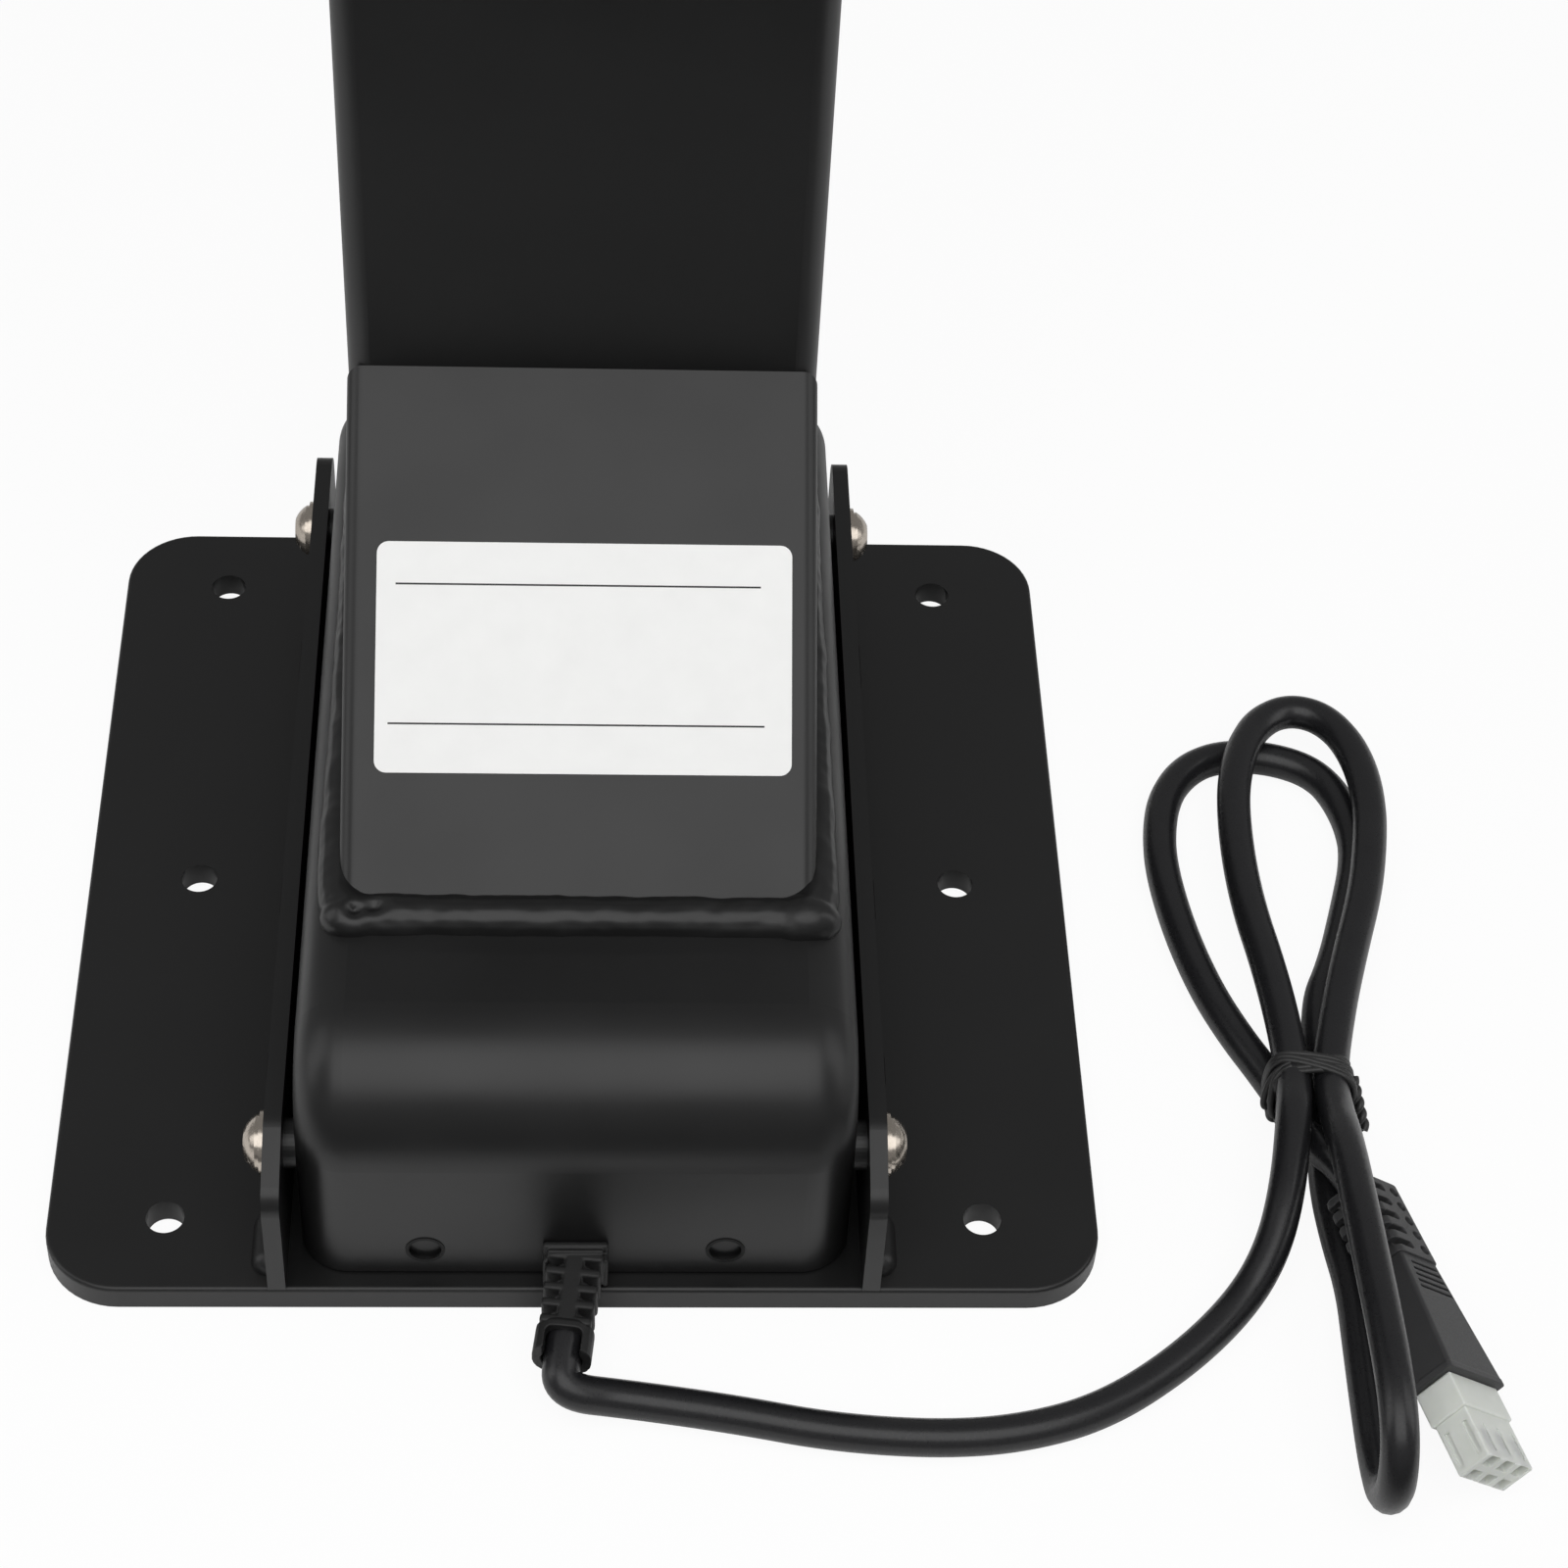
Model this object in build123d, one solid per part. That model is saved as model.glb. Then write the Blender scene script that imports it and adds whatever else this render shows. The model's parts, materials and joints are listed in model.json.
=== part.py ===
# Electric TV lift: a telescopic column in three stages on a bolted base.
# Millimetres, +Z up, X to the right, Y to the back, origin at the middle of the base plate's underside.
# Modelled retracted, with every screw thread plain.
from build123d import *
import os
from math import cos, pi, radians, sin, tan

# Fits between pieces
slip = 0.02          # pieces seated in each other
running = 0.05       # shafts and nuts that turn
free_gap = 0.3       # sliding and turning pieces that stay apart
past = 1             # how far a cutting tool reaches beyond a face

# Base plate
plate_w = 180
plate_l = 184
plate_t = 5
plate_corner = 13
plate_edge = 0.8
bolt_d = 6.6
bolt_inset_x = 20
bolt_inset_y = 15
bolt_x = plate_w / 2 - bolt_inset_x
bolt_y = plate_l / 2 - bolt_inset_y

# Side plates
side_gap = 2.1
side_t = 3
side_h = 29.5
side_front_h = 23.5
side_tail = 6
side_back = plate_l / 2 - side_tail
side_front = -plate_l / 2
side_slant = 13
side_round = 5

# Stitch welds at the feet of the side plates: shares of the plate's length, and the welds' own lengths
stitch_leg = 3.2
stitch_shares = [0.052, 0.267, 0.493, 0.834]
stitch_lengths = [13, 11, 14, 16]

# Drive housing
house_shoulder = 6.5
house_recess = 3.5
house_front = side_front + house_recess
house_back = side_back
house_lift = 0.5
house_top = 53
house_wall = 2
house_nose_r = 20
house_tail_r = 11
house_edge_r = 8.5
opening_rim = 3

# Screws that hold the housing between the side plates
screw_d = 5
screw_hole = 5.5
screw_len = 13
screw_head_d = 9.5
screw_head_h = 2.75
screw_socket = 3
socket_depth = 1.7
screw_z = 26
screw_inset_front = 11.5
screw_inset_back = 14.5
screw_front_y = house_front + screw_inset_front
screw_back_y = house_back - screw_inset_back
washer_d = 11
washer_t = 1
nut_flats = 8
nut_t = 4
nut_stand = 0.25

# Recessed rivets in the front wall
rivet_d = 6.4
rivet_x = 25.2
rivet_z = 11.8
rivet_sink = 0.9
rivet_t = 1.1

# Column: three tubes, each a wall and a gap smaller than the one round it
travel = 500
tube_lap = 137
rim_step = 10
head_step = 15
outer_w = 80
outer_d = 50
outer_r = 4
tube_wall = 1.5
stage_gap = 1
stage_step = 2 * (tube_wall + stage_gap)
middle_w = outer_w - stage_step
middle_d = outer_d - stage_step
middle_r = outer_r - 1
inner_w = middle_w - stage_step
inner_d = middle_d - stage_step
inner_r = outer_r - 1.5
column_setback = 11.5
column_y = house_back - outer_d / 2 - column_setback
outer_top = house_top + travel + tube_lap
middle_top = outer_top + rim_step
inner_top = middle_top + head_step

# Sloped brace in front of the column
brace_setback = 37.9
brace_rise = 55.8
brace_wall = 2
brace_edge = 2.7
bead_r = 4
bead_corner = 6.5
seam_r = 2
seam_proud = 0.8

# Rating label on the slope
label_w = 70
label_h = 39.2
label_t = 0.15
label_corner = 2
label_up = 24.3
label_shift = 0.6

# Guide collars and glides
collar_lap = 30
collar_cap = 4
collar_rim = 1
glide_h = 38
glide_low = 4

# Screws and nuts
upper_r = 11.5
upper_screw_wall = 3
upper_bore = upper_r - upper_screw_wall
upper_nut_wall = 4
upper_nut_r = upper_r + upper_nut_wall
sleeve_wall = 1.5
lower_r = upper_bore - sleeve_wall
journal_step = 1
journal_r = lower_r - journal_step
hub_step = 0.5
hub_r = upper_r + hub_step
lower_nut_wall = 5
lower_nut_r = lower_r + lower_nut_wall
upper_bearing_wall = 5
upper_bearing_r = hub_r + upper_bearing_wall
key_w = 3
key_depth = 1.2
thread_spare = 18

# Worm gear
wheel_room = 23.5
wheel_r = outer_w / 2 - wheel_room
wheel_teeth = 30
wheel_h = 14
tooth_depth = 1.6
worm_r = 4.5
worm_len = 30
shaft_r = 2.5
case_pad = 7
wheel_clear = 1
shaft_end = 2
stub = 6
cover_t = 8
neck_h = 2.7
bearing_wall = 7
bearing_r = journal_r + bearing_wall
bearing_h = 6
motor_room = 4.5
motor_r = (house_top - house_wall - plate_t) / 2 - motor_room
motor_lift = 1
gear_z = plate_t + motor_r + motor_lift
motor_len = 66
motor_cap_len = 7
motor_edge = 3

# Middle tube's foot and what it carries
neck_top = house_top + neck_h
foot_low = neck_top + free_gap
nut_seat_h = 24
bearing_seat_h = 17.7
foot_floor = 2
screw_clear = 1
hub_short = 1
foot_split = foot_low + nut_seat_h
foot_top = foot_split + bearing_seat_h
lower_top = foot_split + travel + thread_spare

# Inner tube's foot
inner_foot_h = 26
upper_top = foot_top + inner_foot_h + travel + thread_spare

# Head plate
head_w = 120
head_d = 60
head_t = 5
head_corner = 6
head_hole = 8.5
head_hole_x = 50
head_hole_y = 20
head_bead = 2.5

# Cable boot
boot_w = 11
boot_h = 9
boot_z = 9.9
boot_flange = 2.2
boot_lip = 0.9
boot_rows = 4
boot_spine = 3
boot_core_r = 3.3
boot_sleeve = 4.2
boot_sleeve_w = 9.8

# Cord, from the boot to the tied hank
cord_d = 6.4
cord_z = cord_d / 2 + 0.05
cord_route = [
    (-2.0, -107.0, 8.6),
    (-2.4, -113.6, 7.0),
    (9.0, -112.6, cord_z),
    (26.5, -115.5, cord_z),
    (42.5, -119.0, cord_z),
    (60.0, -120.4, cord_z),
    (74.0, -119.3, cord_z),
    (88.0, -115.0, cord_z),
    (102.0, -105.2, cord_z),
    (113.0, -94.5, 4.3),
    (119.0, -86.0, 8.2),
    (122.4, -75.5, 12.2),
    (124.9, -62.0, 13.8),
    (126.6, -53.5, 11.4),
]

# Hank and its tie
tie_low_y = -52
tie_high_y = -46
waist_left = 123.6
waist_right = 138.4
waist_z = 1.2
hank_h = 13
tie_t = 1.1
loop_x = 132.3       # the lower loop stands on edge over the plug's boot
loop_w = 7.2
lead_route = [       # from the tie into the plug's boot
    (126.8, tie_low_y, cord_z + 0.3),
    (126.9, -57.2, 4.6),
    (129.5, -66.5, 9.3),
    (131.6, -72.2, 10.4),
    (132.8, -75.5, 10.4),
]

# Plug
plug_start = (132.8, -75.5, 10.4)
plug_end = (147.0, -115.6, 9.1)
plug_roll = 48
plug_w = 15
plug_h = 9
plug_neck = 9.6
plug_boot_len = 17
plug_rows = 5
plug_pitch = 3.1
plug_rib = 1.75
plug_rim = 1.3
hole_inset = 1.5
grip_rows = 5
grip_start = 1.6
grip_pitch = 1.4
grip_w = 5.7
grip_shift = 0.8
grip_depth = 0.45
connector_w = 13.8
connector_h = 8
connector_len = 14.7
connector_step = 6.3
contact_pitch = 4.2
cell_w = 2.6
cell_h = 2.4
cell_depth = 6
latch_w = 0.5
latch_len = 5.4

house_w = outer_w + 2 * house_shoulder
inner_x = house_w / 2 + side_gap
outer_x = inner_x + side_t
screw_ys = (screw_front_y, screw_back_y)
column_front = column_y - outer_d / 2
brace_foot = column_front - house_front - brace_setback
motor_x = -(wheel_r + worm_r + free_gap)
case_front = column_y - wheel_r - case_pad
case_back = column_y + wheel_r + case_pad
case_left = motor_x - worm_r - case_pad
case_right = wheel_r + case_pad
wheel_low = gear_z - wheel_h / 2
wheel_high = gear_z + wheel_h / 2
case_top = wheel_high + free_gap
outer_size = (outer_w, outer_d, outer_r)
middle_size = (middle_w, middle_d, middle_r)
inner_size = (inner_w, inner_d, inner_r)
parts = {}


def rounded(width, depth, radius):
    return RectangleRounded(width, depth, radius)


def block(width, depth, radius, low, high):
    # A rounded block round the column's axis
    return Pos(0, column_y, low) * extrude(rounded(width, depth, radius), high - low)


def tube(width, depth, radius, low, high, wall=tube_wall):
    bore = block(width - 2 * wall, depth - 2 * wall, radius - wall, low, high)
    return block(width, depth, radius, low, high) - bore


def seated(width, depth, radius, low, high):
    # A block that fills a tube of this outside size
    inset = 2 * (tube_wall + slip)
    return block(width - inset, depth - inset, radius - tube_wall, low, high)


def post(radius, low, high):
    # A round bar on the column's axis
    return Pos(0, column_y, (low + high) / 2) * Cylinder(radius, high - low)


def ring(outer, inner, low, high):
    return post(outer, low, high) - post(inner, low, high)


def bar_y(radius, x, z, front, back):
    # A round bar along Y
    return Pos(x, (front + back) / 2, z) * Rot(90, 0, 0) * Cylinder(radius, back - front)


def side_bar(side, radius, y, z, low, high):
    # A round bar along X, measured outwards from the middle
    return Pos(side * (low + high) / 2, y, z) * Rot(0, 90, 0) * Cylinder(radius, high - low)


def box_between(low, high):
    size = [b - a for a, b in zip(low, high)]
    middle = [(a + b) / 2 for a, b in zip(low, high)]
    return Pos(*middle) * Box(*size)


def base_plate():
    plate = extrude(rounded(plate_w, plate_l, plate_corner), plate_t)
    for x in (-bolt_x, bolt_x):
        for y in (-bolt_y, 0, bolt_y):
            plate -= Pos(x, y, plate_t / 2) * Cylinder(bolt_d / 2, plate_t)
    rim = plate.faces().sort_by(Axis.Z)[-1].outer_wire().edges()
    return fillet(rim, plate_edge)


def side_plate(side):
    front = side_front
    top = plate_t + side_h
    outline = Polyline(
        (front, plate_t),
        (front, plate_t + side_front_h),
        (front + side_slant, top),
        (side_back, top),
        (side_back, plate_t),
        close=True,
    )
    face = make_face(outline)
    upper = face.vertices().sort_by(Axis.Y)[-3:]
    face = fillet(upper, side_round)
    start = inner_x if side > 0 else -outer_x
    plate = Pos(start, 0, 0) * extrude(Plane.YZ * face, side_t)
    for y in screw_ys:
        plate -= side_bar(side, screw_hole / 2, y, screw_z, inner_x - past, outer_x + past)
    return plate


def stitch_welds():
    beads = []
    for side in (-1, 1):
        for share, length in zip(stitch_shares, stitch_lengths):
            y = side_front + share * (side_back - side_front)
            half = length / 2 - stitch_leg
            bead = bar_y(stitch_leg, side * outer_x, plate_t, y - half, y + half)
            for end in (y - half, y + half):
                bead += Pos(side * outer_x, end, plate_t) * Sphere(stitch_leg)
            low = (outer_x, y - length, plate_t)
            high = (outer_x + 2 * stitch_leg, y + length, plate_t + 2 * stitch_leg)
            corner = box_between(low, high)
            if side < 0:
                corner = corner.mirror(Plane.YZ)
            beads.append(bead & corner)
    return beads


def housing_form(inset):
    # The drawn shape: a bent side outline whose whole edge is rounded over
    low = plate_t + house_lift
    top = house_top - inset
    front = house_front + inset
    back = house_back - inset
    outline = Polyline((front, low), (front, top), (back, top), (back, low), close=True)
    face = make_face(outline)
    high = face.vertices().group_by(Axis.Y)[-1].sort_by(Axis.X)
    face = fillet(high[0], house_nose_r - inset)
    high = face.vertices().group_by(Axis.Y)[-1].sort_by(Axis.X)
    face = fillet(high[-1], house_tail_r - inset)
    half = house_w / 2 - inset
    form = extrude(Plane.YZ * face, half, both=True)
    rims = form.faces().group_by(Axis.X)[0].edges() + form.faces().group_by(Axis.X)[-1].edges()
    rims = rims.filter_by(lambda e: e.center().Z > low + 0.01)
    return fillet(rims, house_edge_r - inset)


def drive_housing():
    shell = housing_form(0) - housing_form(house_wall)
    opening = rounded(outer_w - 2 * opening_rim, outer_d - 2 * opening_rim, outer_r)
    shell -= Pos(0, column_y, house_top - 2 * house_wall) * extrude(opening, 3 * house_wall)
    for side in (-1, 1):
        for y in screw_ys:
            wall_in = house_w / 2 - house_wall - past
            shell -= side_bar(side, screw_hole / 2, y, screw_z, wall_in, house_w / 2 + past)
        wall_back = house_front + house_wall + past
        shell -= bar_y(rivet_d / 2, side * rivet_x, rivet_z, house_front - past, wall_back)
    mouth = Pos(0, house_front + house_wall / 2, boot_z) * Box(boot_w - 2, house_wall + past, boot_h - 2)
    return shell - mouth


def rivets():
    front = house_front + rivet_sink
    return [
        bar_y(rivet_d / 2 - slip, side * rivet_x, rivet_z, front, front + rivet_t)
        for side in (-1, 1)
    ]


def button_screw():
    # Head above the origin, shank below it
    rim = screw_head_h * 0.25
    profile = make_face([
        Line((0, 0), (screw_head_d / 2, 0)),
        Line((screw_head_d / 2, 0), (screw_head_d / 2, rim)),
        ThreePointArc(
            (screw_head_d / 2, rim),
            (screw_head_d * 0.38, screw_head_h * 0.72),
            (screw_head_d / 4, screw_head_h),
        ),
        Line((screw_head_d / 4, screw_head_h), (0, screw_head_h)),
        Line((0, screw_head_h), (0, 0)),
    ])
    screw = revolve(Plane.XZ * profile, Axis.Z)
    screw += Pos(0, 0, -screw_len / 2) * Cylinder(screw_d / 2, screw_len)
    socket = extrude(RegularPolygon(screw_socket / 2, 6, major_radius=False), socket_depth)
    return screw - Pos(0, 0, screw_head_h - socket_depth) * socket


def on_sides(piece, x):
    # Copies of a piece made along Z, turned to point outwards at each screw
    placed = []
    for side in (-1, 1):
        for y in screw_ys:
            placed.append(Pos(side * x, y, screw_z) * Rot(0, side * 90, 0) * piece)
    return placed


def side_washers():
    washer = Cylinder(washer_d / 2, washer_t) - Cylinder(screw_d / 2 + 0.2, washer_t)
    return on_sides(Pos(0, 0, washer_t / 2) * washer, outer_x)


def housing_nuts():
    nut = extrude(RegularPolygon(nut_flats / 2, 6, major_radius=False), -nut_t)
    nut -= Pos(0, 0, -nut_t / 2) * Cylinder(screw_d / 2 + slip, nut_t)
    return on_sides(nut, house_w / 2 - house_wall - nut_stand)


def slope_run():
    # The slope's length from the column down to its foot
    return (brace_foot ** 2 + brace_rise ** 2) ** 0.5


def brace_form(inset):
    # Wedge between the housing's top and the column's front face
    top = house_top + brace_rise
    foot = column_front - brace_foot
    outline = Polyline((column_front, house_top), (foot, house_top), (column_front, top), close=True)
    wedge = extrude(Plane.YZ * make_face(outline), outer_w / 2 - inset, both=True)
    if inset:
        return Pos(0, 0, -inset * slope_run() / brace_foot) * wedge
    long_edges = wedge.edges().filter_by(lambda e: abs(e.center().X) > 1)
    long_edges = long_edges.filter_by(lambda e: e.length > max(brace_foot, brace_rise) + 1)
    return fillet(long_edges, brace_edge)


def sloped_brace():
    inside = brace_form(brace_wall)
    above = box_between((-outer_w, house_front, house_top), (outer_w, column_front, outer_top))
    return brace_form(0) - (inside & above)


def brace_weld():
    # One bead round the foot of the brace and the column, and a seam up each back edge of the brace
    foot = column_front - brace_foot
    back = column_front + outer_d
    loop = rounded(outer_w, back - foot, bead_corner).wire()
    loop = Pos(0, (foot + back) / 2, house_top) * loop
    section = Plane(origin=loop @ 0, z_dir=loop % 0) * Circle(bead_r)
    bead = sweep(section, path=loop)
    column = block(outer_w, outer_d, outer_r, house_top - bead_r, outer_top)
    wedge = brace_form(0)
    below = box_between((-outer_w, foot - 20, 0), (outer_w, back + 20, house_top))
    bead = (bead - below - column - wedge).solids().sort_by(SortBy.VOLUME)[-1]
    seams = []
    low = house_top + bead_r
    high = house_top + brace_rise - seam_r
    for side in (-1, 1):
        spot = Pos(side * (outer_w / 2 + seam_proud - seam_r), column_front + seam_proud, (low + high) / 2)
        seams.append(spot * Cylinder(seam_r, high - low) - wedge - column)
    return [bead] + [seam.solids().sort_by(SortBy.VOLUME)[-1] for seam in seams]


def slope_plane(down):
    # On the brace's face, this far down its slope, x to the right and z out of the face
    run = slope_run()
    y = column_front - brace_foot * down / run
    z = house_top + brace_rise * (1 - down / run)
    return Plane(origin=(0, y, z), x_dir=(1, 0, 0), z_dir=(0, -brace_rise, brace_foot))


def rating_label():
    middle = slope_plane(slope_run() - label_up - label_h / 2)
    film = rounded(label_w, label_h, label_corner)
    return extrude(middle * Pos(label_shift, 0) * film, label_t)


def guide_collar(outside, inside, top):
    # Skirt inside the tube's mouth and a cap over its rim, open for the next tube
    width, depth, radius = outside
    skirt = block(width - 2 * tube_wall, depth - 2 * tube_wall, radius - tube_wall, top - collar_lap, top)
    rim = 2 * collar_rim
    cap = block(width + rim, depth + rim, radius + collar_rim, top, top + collar_cap)
    width, depth, radius = inside
    gap = 2 * free_gap
    way = block(width + gap, depth + gap, radius + free_gap, top - collar_lap, top + collar_cap)
    return skirt + cap - way


def glides(width, depth, radius, around_w, around_d, low):
    # Four pads on a tube's outside, with the sliding gap left to the tube round it
    thick_x = (around_w - 2 * tube_wall - width) / 2 - free_gap
    thick_y = (around_d - 2 * tube_wall - depth) / 2 - free_gap
    pads = []
    for side in (-1, 1):
        x = side * (width + thick_x) / 2
        pads.append(Pos(x, column_y, low + glide_h / 2) * Box(thick_x, depth - 4 * radius, glide_h))
        y = column_y + side * (depth + thick_y) / 2
        pads.append(Pos(0, y, low + glide_h / 2) * Box(width - 4 * radius, thick_y, glide_h))
    return pads


def gear_case():
    case = box_between((case_left, case_front, plate_t), (case_right, case_back, case_top))
    case = fillet(case.edges().filter_by(Axis.Z), 4)
    case -= post(wheel_r + wheel_clear, wheel_low - free_gap, case_top)
    case -= post(bearing_r + slip, wheel_low - free_gap - bearing_h, wheel_low)
    worm_front = column_y - worm_len / 2 - wheel_clear
    worm_back = column_y + worm_len / 2 + wheel_clear
    case -= bar_y(worm_r + wheel_clear, motor_x, gear_z, worm_front, worm_back)
    case -= bar_y(shaft_r + running, motor_x, gear_z, case_front, case_back - shaft_end)
    return case - box_between((motor_x, worm_front, gear_z), (0, worm_back, case_top))


def gear_cover():
    high = case_top + cover_t
    cover = box_between((case_left, case_front, case_top), (case_right, case_back, high))
    cover = fillet(cover.edges().filter_by(Axis.Z), 4)
    cover += post(bearing_r + 4, high, neck_top)
    cover -= post(bearing_r + slip, case_top, case_top + bearing_h)
    return cover - post(lower_r + free_gap, case_top, neck_top)


def screw_bearings():
    low = ring(bearing_r, journal_r + running, wheel_low - free_gap - bearing_h, wheel_low - free_gap)
    high = ring(bearing_r, journal_r + running, case_top, case_top + bearing_h)
    return [low, high]


def worm_wheel():
    wheel = ring(wheel_r, journal_r + slip, wheel_low, wheel_high)
    pitch = 2 * pi * wheel_r / wheel_teeth
    gap = Pos(wheel_r, 0, 0) * Box(2 * tooth_depth, pitch / 2, wheel_h)
    for tooth in range(wheel_teeth):
        wheel -= Pos(0, column_y, gear_z) * Rot(0, 0, (tooth + 0.5) * 360 / wheel_teeth) * gap
    return wheel


def worm():
    screw = bar_y(worm_r, motor_x, gear_z, column_y - worm_len / 2, column_y + worm_len / 2)
    screw = chamfer(screw.edges().filter_by(GeomType.CIRCLE), 1)
    return screw + bar_y(shaft_r, motor_x, gear_z, case_front - stub, case_back - shaft_end - free_gap)


def motor():
    can = bar_y(motor_r, motor_x, gear_z, case_front - motor_len, case_front)
    can = fillet(can.edges().filter_by(GeomType.CIRCLE).sort_by(Axis.Y)[0], motor_edge)
    return can - bar_y(shaft_r + running, motor_x, gear_z, case_front - stub - 2, case_front)


def motor_cap():
    front = case_front - motor_len - motor_cap_len
    cap = bar_y(motor_r - motor_edge, motor_x, gear_z, front, front + motor_cap_len)
    return chamfer(cap.edges().filter_by(GeomType.CIRCLE).sort_by(Axis.Y)[0], motor_edge / 2)


def keyway(side):
    low = wheel_high + cover_t + free_gap
    depth = key_depth + free_gap
    x = side * (lower_r - depth / 2 + 0.5)
    return Pos(x, column_y, (low + lower_top) / 2) * Box(depth + 1, key_w, lower_top - low)


def lower_screw():
    low = wheel_low - free_gap - bearing_h
    bar = post(journal_r, low, case_top + bearing_h + free_gap)
    bar += post(lower_r, case_top + bearing_h + free_gap, lower_top)
    bar = chamfer(bar.edges().filter_by(GeomType.CIRCLE).sort_by(Axis.Z)[-1], 1.2)
    return bar - keyway(-1) - keyway(1)


def middle_foot():
    foot = seated(middle_w, middle_d, middle_r, foot_low, foot_top)
    foot -= post(lower_r + screw_clear, foot_low, foot_low + foot_floor)
    foot -= post(lower_nut_r + slip, foot_low + foot_floor, foot_split)
    return foot - post(upper_bearing_r + slip, foot_split, foot_top)


def lower_nut():
    return ring(lower_nut_r, lower_r + running, foot_low + foot_floor, foot_split)


def upper_bearing():
    low = foot_split + free_gap
    return ring(upper_bearing_r, hub_r + running, low, foot_top - 2 * hub_short)


def upper_screw():
    low = foot_split + free_gap
    hub_top = foot_top - hub_short
    bar = post(hub_r, low, hub_top) + post(upper_r, hub_top, upper_top)
    bar = chamfer(bar.edges().filter_by(GeomType.CIRCLE).sort_by(Axis.Z)[-1], 1)
    return bar - post(upper_bore, low, upper_top)


def drive_sleeve():
    low = foot_split + free_gap
    high = foot_top - hub_short
    sleeve = ring(upper_bore - slip, lower_r + running, low, high)
    for side in (-1, 1):
        wide = key_w - 2 * running
        depth = key_depth + 0.6
        x = side * (lower_r - key_depth + depth / 2)
        sleeve += Pos(x, column_y, (low + high) / 2) * Box(depth, wide, high - low)
    return sleeve


def inner_foot():
    low = foot_top + free_gap
    foot = seated(inner_w, inner_d, inner_r, low, low + inner_foot_h)
    foot -= post(upper_r + screw_clear, low, low + foot_floor)
    return foot - post(upper_nut_r + slip, low + foot_floor, low + inner_foot_h)


def upper_nut():
    low = foot_top + free_gap
    return ring(upper_nut_r, upper_r + running, low + foot_floor, low + inner_foot_h)


def head_plate():
    plate = block(head_w, head_d, head_corner, inner_top, inner_top + head_t)
    for x in (-head_hole_x, head_hole_x):
        for y in (-head_hole_y, head_hole_y):
            plate -= Pos(x, column_y + y, inner_top + head_t / 2) * Cylinder(head_hole / 2, head_t)
    return plate


def head_weld():
    loop = rounded(inner_w, inner_d, inner_r).wire()
    loop = Pos(0, column_y, inner_top) * loop
    section = Plane(origin=loop @ 0, z_dir=loop % 0) * Circle(head_bead)
    bead = sweep(section, path=loop)
    bead -= block(inner_w, inner_d, inner_r, inner_top - 10, inner_top + 10)
    return bead - block(head_w, head_d, head_corner, inner_top, inner_top + 10)


def cable_boot():
    # Lipped flange against the wall, a spine with four rows of notches each side, and an end sleeve
    front = house_front
    thick = boot_flange - boot_lip
    flange = Pos(0, front - thick / 2, boot_z) * Box(boot_w, thick, boot_h)
    flange = fillet(flange.edges().filter_by(Axis.Y), 2)
    lip = Pos(0, front - boot_flange / 2, boot_z) * Box(boot_w - 1, boot_flange, boot_h - 1)
    flange += fillet(lip.edges().filter_by(Axis.Y), 1.5)
    fit = 2 + 2 * slip
    flange += Pos(0, front + house_wall / 2, boot_z) * Box(boot_w - fit, house_wall, boot_h - fit)
    neck = Vector(0, front - boot_flange, boot_z)
    axis = Vector(*cord_route[0]) - neck
    base = Plane(origin=neck, z_dir=axis, x_dir=axis.cross(Vector(0, 0, 1)) * -1)
    ribbed = axis.length - boot_sleeve
    wide = rounded(boot_w - 1.6, boot_h - 0.8, 2.2)
    slim = rounded(boot_w - 2.6, boot_h - 1.4, 2.2)
    body = loft([base * wide, base.offset(ribbed) * slim])
    pitch = ribbed / boot_rows
    for row in range(boot_rows):
        level = base.offset(pitch * (row + 0.3))
        for side in (-1, 1):
            notch = level * Pos(side * (boot_spine + boot_w) / 2, 0) * Rectangle(boot_w, boot_h + 2)
            body -= extrude(notch, pitch / 2)
    body += extrude(base * Circle(boot_core_r), ribbed)
    sleeve = extrude(base.offset(ribbed) * rounded(boot_sleeve_w, boot_h - 0.4, 2.8), boot_sleeve)
    return flange + body + sleeve


def corner_radii(points):
    # As large at each corner as its two runs allow: nearly all of an end run, half of one between corners
    runs = [Vector(*there) - Vector(*here) for here, there in zip(points, points[1:])]
    rooms = [0.45 * run.length for run in runs]
    rooms[0] *= 2
    rooms[-1] *= 2
    radii = []
    for corner, (run_in, run_out) in enumerate(zip(runs, runs[1:])):
        turn = radians(run_in.get_angle(run_out))
        radii.append(min(rooms[corner], rooms[corner + 1]) / tan(turn / 2))
    return radii


def cord_along(route):
    radii = corner_radii(route)
    path = FilletPolyline(*route, radius=radii)
    section = Plane(origin=path @ 0, z_dir=path % 0) * Circle(cord_d / 2)
    cord = sweep(section, path=path)
    expected = pi * (cord_d / 2) ** 2 * path.length
    print("cord radii", [round(r, 1) for r in radii])
    print("cord length", round(path.length, 1), "volume ratio", round(cord.volume / expected, 4))
    return cord


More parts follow.
